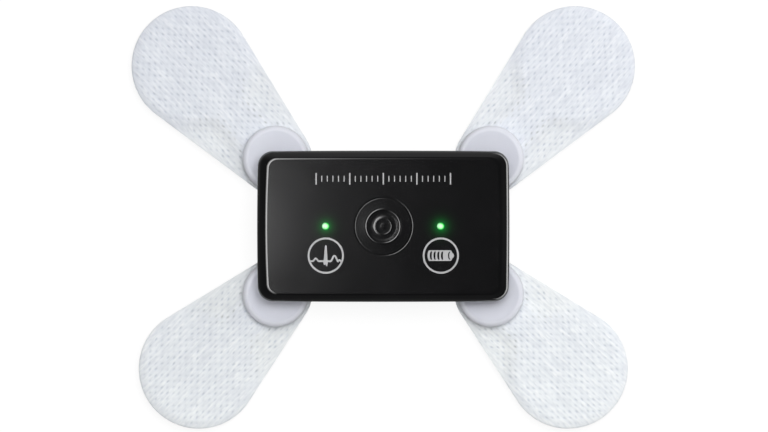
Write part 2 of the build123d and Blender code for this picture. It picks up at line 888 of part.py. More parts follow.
def drop_outline(drop_length):
    """The backing's drop shape, with the stud at the origin and the broad end along X."""
    slope = (drop_big_radius - drop_small_radius) / drop_length
    across = (1 - slope**2) ** 0.5
    big = [(drop_length - drop_big_radius * slope, s * drop_big_radius * across) for s in (1, -1)]
    small = [(-drop_small_radius * slope, s * drop_small_radius * across) for s in (1, -1)]
    sides = [
        Line(small[0], big[0]),
        ThreePointArc(big[0], (drop_length + drop_big_radius, 0), big[1]),
        Line(big[1], small[1]),
        ThreePointArc(small[1], (-drop_small_radius, 0), small[0]),
    ]
    return make_face(Curve() + sides)


def carrier_outline(drop_length, grow):
    """Keyhole outline of the foam carrier, grown outwards by a given run."""
    disc = Pos(drop_length, 0) * Circle(carrier_disc_radius + grow)
    tail = Circle(carrier_tail_radius + grow)
    neck = Pos(drop_length / 2, 0) * Rectangle(drop_length, carrier_neck_width + 2 * grow)
    keyhole = disc + neck + tail
    return fillet(keyhole.vertices(), carrier_neck_fillet - grow)


def electrode_backing(drop_length):
    """Cloth backing: a thin drop with a raised land over the carrier, hollow where the layers lie."""
    land_height = backing_top_z - backing_thickness
    lower = prism(drop_outline(drop_length), 0, backing_thickness)
    run = Pos(0, 0, backing_thickness) * carrier_outline(drop_length, backing_slope_run)
    land = loft([run, Pos(0, 0, backing_top_z) * carrier_outline(drop_length, 0)], ruled=True)
    land &= prism(drop_outline(drop_length), 0, backing_thickness + land_height)
    backing = lower + land
    backing -= prism(carrier_outline(drop_length, 0), -cut_overrun, carrier_thickness)
    backing -= sensor_strip_blank(drop_length, seat_gap)
    backing -= rod(eyelet_post_radius + seat_gap, 0, backing_top_z + cut_overrun)
    return backing


def foam_carrier(drop_length):
    """Foam carrier with a hole for the gel and a recess for the eyelet."""
    carrier = prism(carrier_outline(drop_length, 0), 0, carrier_thickness)
    carrier -= rod(gel_radius, -cut_overrun, carrier_thickness + cut_overrun, (drop_length, 0))
    recess_foot = carrier_thickness - eyelet_flange_thickness
    carrier -= rod(eyelet_flange_radius + seat_gap, recess_foot, carrier_thickness + cut_overrun)
    return carrier


def gel_pad(drop_length):
    """Disc of clear contact gel that meets the skin."""
    return rod(gel_radius, 0, carrier_thickness, (drop_length, 0))


def sensor_strip_blank(drop_length, gap):
    """The strip's outline from the stud to the gel, grown upwards by a gap."""
    top = carrier_thickness + strip_thickness + gap
    strip = rod(strip_tail_radius, carrier_thickness, top)
    strip += rod(strip_gel_radius, carrier_thickness, top, (drop_length, 0))
    return strip + block(drop_length, strip_width, carrier_thickness, top, (drop_length / 2, 0))


def sensor_strip(drop_length):
    """Thin conductor from the eyelet to the gel."""
    strip = sensor_strip_blank(drop_length, 0)
    return strip - rod(eyelet_post_radius + seat_gap, 0, carrier_thickness + cut_overrun)


def eyelet():
    """Eyelet pressed up through the layers into the stud."""
    flange_foot = carrier_thickness - eyelet_flange_thickness
    post_top = stud_flange_top_z + eyelet_post_share * stud_neck_height
    flange = rod(eyelet_flange_radius, flange_foot, carrier_thickness)
    return flange + rod(eyelet_post_radius, flange_foot, post_top)


def snap_stud():
    """Male snap stud with a flange, a neck and a rounded head."""
    head_edge_z = stud_top_z - stud_crown_radius / 2
    profile = Curve() + [
        Line((0, backing_top_z), (stud_flange_radius, backing_top_z)),
        Line((stud_flange_radius, backing_top_z), (stud_flange_radius, stud_flange_top_z)),
        Line((stud_flange_radius, stud_flange_top_z), (stud_neck_radius, stud_flange_top_z)),
        Line((stud_neck_radius, stud_flange_top_z), (stud_neck_radius, stud_neck_top_z)),
        Line((stud_neck_radius, stud_neck_top_z), (stud_head_radius, stud_neck_top_z)),
        Line((stud_head_radius, stud_neck_top_z), (stud_head_radius, head_edge_z)),
        Line((stud_head_radius, head_edge_z), (stud_crown_radius, stud_top_z)),
        Line((stud_crown_radius, stud_top_z), (0, stud_top_z)),
        Line((0, stud_top_z), (0, backing_top_z)),
    ]
    stud = revolve(make_face(Plane.XZ * profile), Axis.Z)
    bore_top = stud_flange_top_z + eyelet_post_share * stud_neck_height + seat_gap
    return stud - rod(eyelet_post_radius + seat_gap, backing_top_z - cut_overrun, bore_top)


def place_electrode(shape, corner):
    """Turns an electrode piece to its corner's direction and moves it under its ear."""
    sx, sy = corners[corner]
    x, y = ear_places[corner]
    angle = electrode_angles[sy] * sx * sy + (0 if sx > 0 else 180)
    return Pos(x, y, 0) * Rot(0, 0, angle) * shape


os.makedirs("parts", exist_ok=True)

save(front_cover(), "front_cover")
save(rear_cover(), "rear_cover")
save(gasket_ring(0), "cover_gasket")
save(cover_screws(), "cover_screws")
save(cover_inserts(), "cover_inserts")
save(event_key(), "event_key")
save(switch_case(), "switch_case")
save(switch_plunger(), "switch_plunger")
save(light_rods(), "light_rods")
save(signal_lamps(), "signal_lamps")
save(main_board(), "main_board")
save(board_screws(), "board_screws")
save(ecg_input_chip(), "ecg_input_chip")
save(processor_chip(), "processor_chip")
save(memory_chip(), "memory_chip")
save(radio_module(), "radio_module")
save(clock_crystal(), "clock_crystal")
save(board_passives(), "board_passives")
save(battery_cell(), "battery_cell")
save(battery_pad(), "battery_pad")
save(battery_leads(), "battery_leads")
save(charge_pins(), "charge_pins")
save(ear_screws(), "ear_screws")
save(board_springs(), "board_springs")

for corner in corners:
    save(snap_ear(corner), f"snap_ear_{corner}")
    save(snap_socket(corner), f"snap_socket_{corner}")
    save(snap_ring(corner), f"snap_ring_{corner}")

for corner, (_, side) in corners.items():
    length = drop_lengths[side]
    save(place_electrode(electrode_backing(length), corner), f"backing_{corner}")
    save(place_electrode(foam_carrier(length), corner), f"foam_carrier_{corner}")
    save(place_electrode(gel_pad(length), corner), f"gel_pad_{corner}")
    save(place_electrode(sensor_strip(length), corner), f"sensor_strip_{corner}")
    save(place_electrode(eyelet(), corner), f"eyelet_{corner}")
    save(place_electrode(snap_stud(), corner), f"stud_{corner}")
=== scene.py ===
import math

import bmesh
import bpy
import numpy as np
from mathutils import Matrix, Vector


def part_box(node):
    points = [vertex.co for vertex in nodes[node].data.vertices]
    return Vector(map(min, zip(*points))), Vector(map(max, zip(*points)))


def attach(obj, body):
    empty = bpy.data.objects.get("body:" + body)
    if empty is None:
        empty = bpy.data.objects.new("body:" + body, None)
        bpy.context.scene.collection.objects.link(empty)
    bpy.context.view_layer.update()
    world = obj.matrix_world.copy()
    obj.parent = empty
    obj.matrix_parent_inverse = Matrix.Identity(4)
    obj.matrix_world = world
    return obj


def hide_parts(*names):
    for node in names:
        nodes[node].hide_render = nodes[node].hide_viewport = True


# A Holter heart recorder that is worn on the chest: a flat glossy black recorder, snapped by
# four lavender ears to drop-shaped electrodes of white bonded cloth. Sizes are in millimetres,
# in the frame of the CAD model: skin plane at zero, Z away from the skin.
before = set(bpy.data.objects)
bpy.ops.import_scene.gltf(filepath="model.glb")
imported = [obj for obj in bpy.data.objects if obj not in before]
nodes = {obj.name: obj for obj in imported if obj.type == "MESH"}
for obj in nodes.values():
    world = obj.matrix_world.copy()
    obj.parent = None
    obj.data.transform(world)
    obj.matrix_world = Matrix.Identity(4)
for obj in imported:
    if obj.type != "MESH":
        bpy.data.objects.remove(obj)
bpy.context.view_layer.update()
mm = 0.001
bpy.context.scene.view_settings.view_transform = "Standard"

# Camera
# The recorder lies flat and is seen from straight above, from far enough that its sides don't
# show. The view takes in 200 mm of floor from left to right.
camera_height = 3000 * mm
view_width = 199.9 * mm
view_middle_x, view_middle_y = 0.18 * mm, 0.36 * mm
camera_data = bpy.data.cameras.new("camera")
camera_data.sensor_width = 36
camera_data.lens = camera_data.sensor_width * camera_height / view_width
camera = bpy.data.objects.new("camera", camera_data)
camera.location = (view_middle_x, view_middle_y, camera_height)
bpy.context.scene.collection.objects.link(camera)
bpy.context.scene.camera = camera


# Rear cover, with its sealing cord, screws and brass inserts
# A tray moulded in black plastic with a fine spark-eroded grain. Four steel screws go up
# through it into brass inserts, and a grey rubber cord seals the seam.
def feed(node, inputs):
    """Gives a node's sockets plain values or other nodes' outputs."""
    for name, value in inputs.items():
        if isinstance(value, bpy.types.NodeSocket):
            node.id_data.links.new(value, node.inputs[name])
        else:
            node.inputs[name].default_value = value


def wire(tree, kind, inputs=None, **settings):
    """One new shader node."""
    made = tree.nodes.new("ShaderNode" + kind)
    for name, value in settings.items():
        setattr(made, name, value)
    feed(made, inputs or {})
    return made


def seen(red, green, blue):
    """A colour as it is seen on a screen, 0 to 255, made linear by the screen's own curve."""
    shares = (c / 255 for c in (red, green, blue))
    return (*(s / 12.92 if s < 0.04 else ((s + 0.055) / 1.055) ** 2.4 for s in shares), 1)


def start_finish(name):
    """An empty finish: its node tree, its shader and the place on the object."""
    finish = bpy.data.materials.new(name)
    finish.use_nodes = True
    tree = finish.node_tree
    tree.nodes.clear()
    shader = wire(tree, "BsdfPrincipled")
    wire(tree, "OutputMaterial", {"Surface": shader.outputs["BSDF"]})
    return finish, tree, shader, wire(tree, "TexCoord").outputs["Object"]


def speckle(tree, place, size, detail=2, stretch=(1, 1, 1)):
    """Soft random spots of a size, which may be drawn out along X, Y or Z."""
    drawn_out = wire(tree, "Mapping", {"Vector": place, "Scale": stretch}).outputs[0]
    spots = wire(tree, "TexNoise", {"Vector": drawn_out, "Scale": 1 / size, "Detail": detail})
    return spots.outputs["Fac"]


def spread(tree, value, low, high, start=0.3, end=0.7, way="LINEAR"):
    """Goes from low to high while the value goes from start to end."""
    limits = {"From Min": start, "From Max": end, "To Min": low, "To Max": high}
    return wire(tree, "MapRange", {"Value": value, **limits}, interpolation_type=way).outputs["Result"]


def tint(tree, share, first, second):
    """A colour between two others, through the Mix node's sockets for colours."""
    mixed = wire(tree, "Mix", {0: share, 6: first, 7: second}, data_type="RGBA")
    return mixed.outputs[2]


def cloudy(tree, clouds, dark, light):
    """A colour that drifts from dark to light, both as seen on a screen."""
    return tint(tree, spread(tree, clouds, 0, 1), seen(*dark), seen(*light))


def calc(tree, operation, first, second=0.0):
    """One sum on two values."""
    return wire(tree, "Math", {0: first, 1: second}, operation=operation).outputs[0]


def plus(tree, first, second):
    return calc(tree, "ADD", first, second)


def times(tree, first, second):
    return calc(tree, "MULTIPLY", first, second)


def raise_grain(tree, shader, height, depth):
    """Small hills of a depth on the surface."""
    bump = wire(tree, "Bump", {"Height": height, "Distance": depth, "Strength": 1.0})
    feed(shader, {"Normal": bump.outputs["Normal"]})


def moulded(name, dark, light, roughness, patch, grain, depth, metal=0.0, stretch=(1, 1, 1)):
    """Plastic, rubber or metal with patches of tint, uneven gloss and a fine grain, all in millimetres.
    Stretch draws the grain out, as a die or a lathe does."""
    finish, tree, shader, place = start_finish(name)
    clouds = speckle(tree, place, patch * mm, 3)
    fine = speckle(tree, place, grain * mm, 2, stretch)
    uneven = plus(tree, times(tree, clouds, 0.5), times(tree, fine, 0.5))
    gloss = spread(tree, uneven, roughness * 0.8, roughness * 1.2)
    tints = cloudy(tree, clouds, dark, light)
    feed(shader, {"Base Color": tints, "Roughness": gloss, "Metallic": metal})
    raise_grain(tree, shader, fine, depth * mm)
    return finish


def dress(finish, *names):
    """Gives CAD nodes a finish."""
    for name in names:
        nodes[name].data.materials.clear()
        nodes[name].data.materials.append(finish)


rear_black = moulded("rear_black", (32, 32, 34), (40, 40, 42), 0.5, patch=8, grain=0.22, depth=0.03)
seal_grey = moulded("seal_grey", (70, 70, 73), (82, 82, 85), 0.6, patch=3, grain=0.3, depth=0.01)
drawn_steel = moulded(
    "drawn_steel", (176, 176, 178), (200, 200, 202), 0.28,
    patch=2, grain=0.1, depth=0.003, metal=1.0, stretch=(0.15, 1, 1),
)
turned_brass = moulded(
    "turned_brass", (196, 160, 88), (222, 190, 118), 0.25,
    patch=1.5, grain=0.1, depth=0.003, metal=1.0, stretch=(1, 1, 6),
)
dress(rear_black, "rear_cover")
dress(seal_grey, "cover_gasket")
dress(drawn_steel, "cover_screws", "board_screws", "ear_screws")
dress(turned_brass, "cover_inserts")


# Battery cell, its leads and its foam pad
# A flat pouch cell in embossed aluminium foil lies on a sticky pad of black foam. Two red
# insulated leads run from its terrace up to the board.
def settle(piece, body, finish):
    """Gives a new piece its finish, and lets it ride on its body."""
    piece.data.materials.clear()
    piece.data.materials.append(finish)
    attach(piece, body)


def pick_out(piece):
    """Selects a piece alone."""
    bpy.ops.object.select_all(action="DESELECT")
    piece.select_set(True)
    bpy.context.view_layer.objects.active = piece


def start_piece(name, kind, **sizes):
    """Starts a piece from a primitive, with nothing else selected."""
    bpy.ops.object.select_all(action="DESELECT")
    getattr(bpy.ops.mesh, f"primitive_{kind}_add")(**sizes)
    piece = bpy.context.object
    piece.name = piece.data.name = name
    return piece


def apply_modifier(piece, kind, **settings):
    """Adds a modifier and applies it."""
    bpy.context.view_layer.objects.active = piece
    modifier = piece.modifiers.new(kind.lower(), kind)
    for name, value in settings.items():
        setattr(modifier, name, value)
    bpy.ops.object.modifier_apply(modifier=modifier.name)


def smooth(piece, degrees=35):
    """Smooth shading, with edges kept where faces meet at more than an angle."""
    pick_out(piece)
    bpy.ops.object.shade_smooth_by_angle(angle=math.radians(degrees))


def place_in_mesh(piece):
    """Puts a piece's place, turn and scale into its mesh."""
    piece.data.transform(piece.matrix_world)
    piece.matrix_world = Matrix.Identity(4)


pouch_foil = moulded(
    "pouch_foil", (168, 170, 174), (196, 198, 202), 0.35, patch=5, grain=0.6, depth=0.02, metal=1.0
)
lead_red = moulded("lead_red", (160, 22, 20), (186, 34, 30), 0.35, patch=2, grain=0.3, depth=0.004)
pad_black = moulded("pad_black", (44, 44, 46), (60, 60, 62), 0.9, patch=2, grain=0.25, depth=0.06)
dress(pouch_foil, "battery_cell")
dress(lead_red, "battery_leads")

pad_low, pad_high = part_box("battery_pad")
pad_size = pad_high - pad_low
pad_rounding = pad_size.z * 0.3
battery_foam = start_piece("battery_foam", "cube", size=1, location=(pad_low + pad_high) / 2)
battery_foam.scale = pad_size
bpy.context.view_layer.update()
place_in_mesh(battery_foam)
apply_modifier(battery_foam, "BEVEL", width=pad_rounding, segments=4)
smooth(battery_foam)
settle(battery_foam, "recorder", pad_black)
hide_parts("battery_pad")


# Circuit board and its components
# Green solder mask over glass fibre, with black chips, a tinned radio can and crystal, tan
# ceramic parts, gold charging pins and springs of copper sheet. The push switch is black.
def solder_mask():
    """Green lacquer with faint copper tracks under it."""
    track_scale, track_share = 260.0, 0.06
    finish, tree, shader, place = start_finish("solder_mask")
    greens = {"Color1": seen(22, 92, 52), "Color2": seen(18, 84, 48), "Mortar": seen(40, 122, 66)}
    sizes = {"Scale": track_scale, "Mortar Size": track_share}
    tracks = wire(tree, "TexBrick", {"Vector": place, **sizes, **greens})
    feed(shader, {"Base Color": tracks.outputs["Color"], "Roughness": 0.3})
    raise_grain(tree, shader, speckle(tree, place, 0.5 * mm), 0.01 * mm)
    return finish


# Each row has a finish, as moulded takes it in order, and the parts that have it.
board_finishes = (
    (("chip_black", (34, 34, 35), (44, 44, 45), 0.55, 2, 0.12, 0.01), "ecg_input_chip", "processor_chip",
     "memory_chip"),
    (("tinned", (186, 186, 182), (206, 206, 202), 0.3, 3, 0.4, 0.006, 1.0), "radio_module", "clock_crystal"),
    (("ceramic_tan", (168, 142, 110), (190, 164, 130), 0.5, 0.8, 0.1, 0.004), "board_passives"),
    (("pin_gold", (226, 184, 96), (240, 202, 122), 0.22, 1.2, 0.1, 0.003, 1.0), "charge_pins"),
    (("spring_copper", (204, 160, 104), (222, 180, 124), 0.3, 1, 0.1, 0.003, 1.0), "board_springs"),
    (("switch_black", (52, 52, 53), (62, 62, 63), 0.5, 2, 0.2, 0.006), "switch_case"),
    (("plunger_ivory", (190, 186, 172), (204, 200, 188), 0.45, 1.5, 0.2, 0.005), "switch_plunger"),
    (("lamp_package", (150, 236, 160), (190, 250, 196), 0.3, 0.6, 0.1, 0.003), "signal_lamps"),
)
for look, *names in board_finishes:
    dress(moulded(*look), *names)
dress(solder_mask(), "main_board")

# Front cover
# Injection-moulded shell in polished black plastic: a slightly crowned face, a soft crease and a rounded
# bevel down to upright walls. A painted green glow round the two lamps stands in for their light in the
# plastic.
cover_length, cover_width, cover_wall = 65.4, 39.2, 1.6
face_top_z, bevel_foot_z, roof_z, seam_z = 15.4, 13.6, 13.8, 8.5
seam_chamfer = 0.15
wall_bows, crease_bows = (0.25, 0.15), (0.58, 0.13)
wall_corner, inner_corner, seam_corner = 3.9, 2.3, 3.75
crease_insets, crease_corner = (2.18, 1.81), 2.8
face_insets, face_corner = (2.7, 2.33), 2.3
crown_rise, crown_half_length = 0.35, 30.6
crown_radius = crown_half_length**2 / (2 * crown_rise)
key_hole_radius, key_hole_bevel = 7.55, 0.2
lamp_x, lamp_window_radius, lamp_window_gap = 14.9, 0.95, 0.02
cover_middle_y = sum(c.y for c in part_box("front_cover")) / 2 / mm
cover_screw_places = [(sx * 15.5, sy * 15.3) for sx in (-1, 1) for sy in (-1, 1)]
screw_boss_radius, insert_hole_radius, insert_hole_depth = 2.2, 1.52, 3.62
boss_overlap, cut_past = 0.4, 1
face_steps = 10
merge_reach = 0.001 * mm


def crown_z(x):
    """Height of the crowned face."""
    return face_top_z - x * x / (2 * crown_radius)


def bowed_ring(end_inset, side_inset, bows, radius, end_steps=14, corner_steps=20, side_steps=22):
    """Points round the cover, moved in, with bowed sides and rounded corners, from its right middle."""
    length, width = cover_length - 2 * end_inset, cover_width - 2 * side_inset
    end_bow, side_bow = bows
    end_arc = ((width / 2 - side_bow) ** 2 + end_bow**2) / (2 * end_bow)
    side_arc = ((length / 2 - end_bow) ** 2 + side_bow**2) / (2 * side_bow)
    end_centre = Vector((length / 2 - end_arc, 0))
    side_centre = Vector((0, width / 2 - side_arc))
    between = side_centre - end_centre
    end_reach, side_reach = end_arc - radius, side_arc - radius
    along = (end_reach**2 - side_reach**2 + between.length_squared) / (2 * between.length)
    across = math.sqrt(end_reach**2 - along**2)
    direction = between.normalized()
    corner = end_centre + direction * along + Vector((-direction.y, direction.x)) * across
    low = math.atan2(*reversed(corner - end_centre))
    high = math.atan2(*reversed(corner - side_centre))
    arcs = [(end_centre, end_arc, 0, low, end_steps), (corner, radius, low, high, corner_steps)]
    arcs.append((side_centre, side_arc, high, math.pi / 2, side_steps))
    quarter = []
    for centre, arc, start, end, steps in arcs:
        for step in range(steps):
            angle = start + (end - start) * step / steps
            quarter.append(centre + arc * Vector((math.cos(angle), math.sin(angle))))
    top = Vector((0, width / 2))
    half = quarter + [top] + [Vector((-p.x, p.y)) for p in reversed(quarter)]
    return half + [Vector((p.x, -p.y)) for p in reversed(half[1:-1])]


def level(ring, z):
    """A flat ring at a height."""
    return [(p.x, p.y, z) for p in ring]


def pull_rings(name, rings):
    """A hollow piece, pulled out ring by ring from a circle and closed on itself."""
    piece = start_piece(name, "circle", vertices=len(rings[0]))
    bpy.ops.object.mode_set(mode="EDIT")
    mesh = bmesh.from_edit_mesh(piece.data)
    mesh.verts.layers.int.new("ring_number")
    order = mesh.verts.layers.int.new("order")
    for i, vertex in enumerate(mesh.verts):
        vertex[order] = i
        vertex.co = [c * mm for c in rings[0][i]]
    bpy.ops.mesh.select_all(action="SELECT")
    for number, ring in enumerate(rings[1:] + rings[:1], 1):
        bpy.ops.mesh.extrude_edges_move()
        mesh = bmesh.from_edit_mesh(piece.data)
        order, ring_number = mesh.verts.layers.int["order"], mesh.verts.layers.int["ring_number"]
        for vertex in (v for v in mesh.verts if v.select):
            vertex.co = [c * mm for c in ring[vertex[order]]]
            vertex[ring_number] = number % len(rings)
    bpy.ops.mesh.select_all(action="SELECT")
    bpy.ops.mesh.remove_doubles(threshold=merge_reach)
    bpy.ops.mesh.normals_make_consistent(inside=False)
    bpy.ops.object.mode_set(mode="OBJECT")
    return piece


def round_ring(piece, number, reach, steps):
    """Rounds the edge of one ring, whose points then belong to no ring."""
    no_ring = 99
    bpy.ops.object.mode_set(mode="EDIT")
    bpy.ops.mesh.select_mode(type="EDGE")
    bpy.ops.mesh.select_all(action="DESELECT")
    mesh = bmesh.from_edit_mesh(piece.data)
    ring_number = mesh.verts.layers.int["ring_number"]
    for edge in mesh.edges:
        if all(v[ring_number] == number for v in edge.verts):
            edge.select = True
    bpy.ops.mesh.bevel(offset=reach * mm, segments=steps, affect="EDGES")
    mesh = bmesh.from_edit_mesh(piece.data)
    ring_number = mesh.verts.layers.int["ring_number"]
    for vertex in mesh.verts:
        if vertex.select:
            vertex[ring_number] = no_ring
    bpy.ops.object.mode_set(mode="OBJECT")


def cut(piece, tool, operation="DIFFERENCE"):
    """Cuts a piece with a tool, or joins them, and throws the tool away."""
    apply_modifier(piece, "BOOLEAN", object=tool, operation=operation, solver="EXACT")
    bpy.data.objects.remove(tool)


def rod_tool(radius, foot, top, place, vertices=48):
    """A plain rod to cut or join with."""
    location = (place[0] * mm, place[1] * mm, (foot + top) / 2 * mm)
    sizes = {"radius": radius * mm, "depth": (top - foot) * mm}
    rod = start_piece("tool", "cylinder", vertices=vertices, location=location, **sizes)
    place_in_mesh(rod)
    return rod


rim = bowed_ring(0, 0, wall_bows, wall_corner)
crease = bowed_ring(*crease_insets, crease_bows, crease_corner)
face_edge = bowed_ring(*face_insets, crease_bows, face_corner)
inner_wall = bowed_ring(cover_wall, cover_wall, wall_bows, inner_corner)
seam = bowed_ring(seam_chamfer, seam_chamfer, wall_bows, seam_corner)
turns = [2 * math.pi * i / len(rim) for i in range(len(rim))]
spokes = [Vector((math.cos(a), math.sin(a))) for a in turns]
hole = [spoke * key_hole_radius for spoke in spokes]
hole_edge = [spoke * (key_hole_radius + key_hole_bevel) for spoke in spokes]
face_rings = [hole]
for step in range(face_steps + 1):
    share = step / face_steps
    face_rings.append([inside.lerp(outside, share) for inside, outside in zip(hole_edge, face_edge)])
face_rings.append(crease)
rings = [level(hole, roof_z)] + [[(p.x, p.y, crown_z(p.x)) for p in ring] for ring in face_rings]
hole_number, crease_number, shoulder_number = 1, len(rings) - 1, len(rings)
rings += [level(rim, bevel_foot_z), level(rim, seam_z + seam_chamfer), level(seam, seam_z)]
rings += [level(inner_wall, seam_z), level(inner_wall, roof_z)]
front_shell = pull_rings("front_shell", rings)
round_ring(front_shell, shoulder_number, reach=1.10, steps=12)
round_ring(front_shell, crease_number, reach=0.40, steps=8)
round_ring(front_shell, hole_number, reach=0.08, steps=3)
for place in cover_screw_places:
    cut(front_shell, rod_tool(screw_boss_radius, seam_z, roof_z + boss_overlap, place), "UNION")
    cut(front_shell, rod_tool(insert_hole_radius, seam_z - cut_past, seam_z + insert_hole_depth, place))
for side in (-1, 1):
    window_radius, place = lamp_window_radius + lamp_window_gap, (side * lamp_x, 0)
    cut(front_shell, rod_tool(window_radius, roof_z - cut_past, face_top_z + cut_past, place, 64))
smooth(front_shell, 30)
front_shell.data.transform(Matrix.Translation((0, cover_middle_y * mm, 0)))


def plan_reach(tree, place, x, y, each_side=False):
    """Distance on plan from a spot at x and y from the cover's middle, or from its nearest mirror image."""
    centred = wire(tree, "VectorMath", {0: place, 1: (0, cover_middle_y * mm, 0)}, operation="SUBTRACT")
    if each_side:
        centred = wire(tree, "VectorMath", {0: centred.outputs[0]}, operation="ABSOLUTE")
    flat = wire(tree, "VectorMath", {0: centred.outputs[0], 1: (1, 1, 0)}, operation="MULTIPLY").outputs[0]
    return wire(tree, "VectorMath", {0: flat, 1: (x * mm, y * mm, 0)}, operation="DISTANCE").outputs["Value"]


def polished_black(name, with_lamps):
    """Polished black plastic, with a painted green glow for the light that the lamps leave in it."""
    halo_start, halo_fade, halo_level, halo_difference = 1.0 * mm, 0.8 * mm, 0.105, 0.01
    finish, tree, shader, place = start_finish(name)
    clouds = speckle(tree, place, 9 * mm, 3)
    tints = cloudy(tree, clouds, (17, 17, 18), (20, 20, 21))
    feed(shader, {"Base Color": tints, "Roughness": spread(tree, clouds, 0.07, 0.10)})
    raise_grain(tree, shader, speckle(tree, place, 0.5 * mm, 3), 0.0006 * mm)
    if with_lamps:
        # Painted glow: green emission that fades out round each lamp.
        glow = 0.0
        for side in (-1, 1):
            beyond = calc(tree, "SUBTRACT", plan_reach(tree, place, side * lamp_x, 0), halo_start)
            share = calc(tree, "EXPONENT", times(tree, beyond, -1 / halo_fade))
            share = calc(tree, "MINIMUM", share, 1.0)
            strength = halo_level + halo_difference * side
            glow = plus(tree, glow, times(tree, share, strength))
        feed(shader, {"Emission Color": (0.0, 1.0, 0.13, 1), "Emission Strength": glow})
    return finish


settle(front_shell, "recorder", polished_black("cover_black", True))
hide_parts("front_cover")


# Event key
# A round key in the same polished black plastic: a soft bead ring round a small flat dish,
# with a lower ring and a pip inside it. A flange under the face keeps it in.
def turned(name, outline, steps=128, place=(0, 0)):
    """A round piece, spun from its outline of (radius, height) points."""
    piece = start_piece(name, "circle", vertices=len(outline))
    for vertex, (radius, height) in zip(piece.data.vertices, outline):
        vertex.co = (radius * mm, 0, height * mm)
    bpy.ops.object.mode_set(mode="EDIT")
    mesh = bmesh.from_edit_mesh(piece.data)
    mesh.verts.ensure_lookup_table()
    ends = {mesh.verts[0], mesh.verts[-1]}
    bmesh.ops.delete(mesh, geom=[e for e in mesh.edges if set(e.verts) == ends], context="EDGES")
    bmesh.update_edit_mesh(piece.data)
    bpy.ops.mesh.select_all(action="SELECT")
    bpy.ops.mesh.spin(steps=steps, angle=2 * math.pi, center=(0, 0, 0), axis=(0, 0, 1))
    bpy.ops.mesh.select_all(action="SELECT")
    bpy.ops.mesh.remove_doubles(threshold=merge_reach)
    bpy.ops.mesh.normals_make_consistent(inside=False)
    bpy.ops.object.mode_set(mode="OBJECT")
    piece.data.transform(Matrix.Translation((place[0] * mm, place[1] * mm, 0)))
    smooth(piece)
    return piece


def eased(corners, steps=5):
    """Outline points, with each (radius, height, rounding) corner made an arc."""
    points = []
    for i, (radius, height, rounding) in enumerate(corners):
        here = Vector((radius, height))
        if not rounding:
            points.append(tuple(here))
            continue
        back = (Vector(corners[i - 1][:2]) - here).normalized()
        on = (Vector(corners[i + 1][:2]) - here).normalized()
        half = back.angle(on) / 2
        centre = here + (back + on).normalized() * rounding / math.sin(half)
        reach = rounding / math.tan(half)
        start, end = here + back * reach - centre, here + on * reach - centre
        for step in range(steps + 1):
            spoke = start.lerp(end, step / steps).normalized()
            points.append(tuple(centre + spoke * rounding))
    return points


def cap(rim_radius, rise, foot, steps=10):
    """Points of a shallow cap, from its rim to its middle."""
    curve = (rim_radius**2 + rise**2) / (2 * rise)
    points = []
    for step in range(steps):
        radius = rim_radius * (1 - step / steps)
        height = math.sqrt(curve**2 - radius**2) - math.sqrt(curve**2 - rim_radius**2)
        points.append((radius, foot + height))
    return points + [(0, foot + rise)]


def low_ring(radius, half_width, rise, foot, steps=12):
    """Points over a low round ring, from its outside to its inside."""
    turns = [math.pi * i / steps for i in range(1, steps)]
    return [(radius + half_width * math.cos(a), foot + rise * math.sin(a)) for a in turns]


stem_radius, stem_foot_z = 1.6, 12.7
flange_radius, flange_foot_z, flange_top_z = 8.35, 13.15, 13.75
key_radius, key_rounding, key_top_z = 7.4, 0.16, face_top_z
bead = {"radius": 4.4, "half_width": 0.42, "rise": 0.26}
dish_brink_radius, dish_floor_radius, dish_floor_z = 3.78, 3.5, key_top_z - 0.25
inner_bead = {"radius": 2.1, "half_width": 0.22, "rise": 0.12}
pip_radius, pip_rise = 0.9, 0.03
key_outline = [(0, stem_foot_z), (stem_radius, stem_foot_z), (stem_radius, flange_foot_z)]
key_outline += [(flange_radius, flange_foot_z), (flange_radius, flange_top_z), (key_radius, flange_top_z)]
key_edge = [(key_radius, flange_top_z, 0), (key_radius, key_top_z, key_rounding), (7.1, key_top_z, 0)]
key_outline += eased(key_edge)[1:]
key_outline += low_ring(**bead, foot=key_top_z)
dish_brink = [(3.95, key_top_z, 0), (dish_brink_radius, key_top_z, 0.1)]
key_outline += eased(dish_brink + [(dish_floor_radius, dish_floor_z, 0.15), (2.5, dish_floor_z, 0)])
key_outline += low_ring(**inner_bead, foot=dish_floor_z) + cap(pip_radius, pip_rise, dish_floor_z)
event_button = turned("event_button", key_outline, place=(0, cover_middle_y))
settle(event_button, "key", polished_black("key_black", False))
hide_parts("event_key")


# Light rods
# Clear rods carry each lamp's light up through the roof. They end in slightly domed windows
# that glow almost white in the middle and green at their edge.
def glowing_rod():
    """Clear plastic, lit from below, with its colours at shares of the window's radius."""
    stops = {0.0: (0.86, 1.0, 0.86), 0.36: (0.70, 1.0, 0.70), 0.60: (0.40, 0.96, 0.42)}
    stops |= {0.76: (0.10, 0.80, 0.14), 0.88: (0.0, 0.48, 0.05), 0.98: (0.0, 0.24, 0.03)}
    finish, tree, shader, place = start_finish("glowing_rod")
    reach = plan_reach(tree, place, lamp_x, 0, each_side=True)
    ramp = wire(tree, "ValToRGB", {"Fac": calc(tree, "DIVIDE", reach, lamp_window_radius * mm)})
    while len(ramp.color_ramp.elements) < len(stops):
        ramp.color_ramp.elements.new(0.5)
    for element, (share, colour) in zip(ramp.color_ramp.elements, stops.items()):
        element.position, element.color = share, (*colour, 1)
    feed(shader, {"Emission Color": ramp.outputs["Color"], "Emission Strength": 1.0})
    gloss = spread(tree, speckle(tree, place, 0.4 * mm), 0.08, 0.16)
    feed(shader, {"Base Color": seen(10, 60, 20), "Roughness": gloss})
    return finish


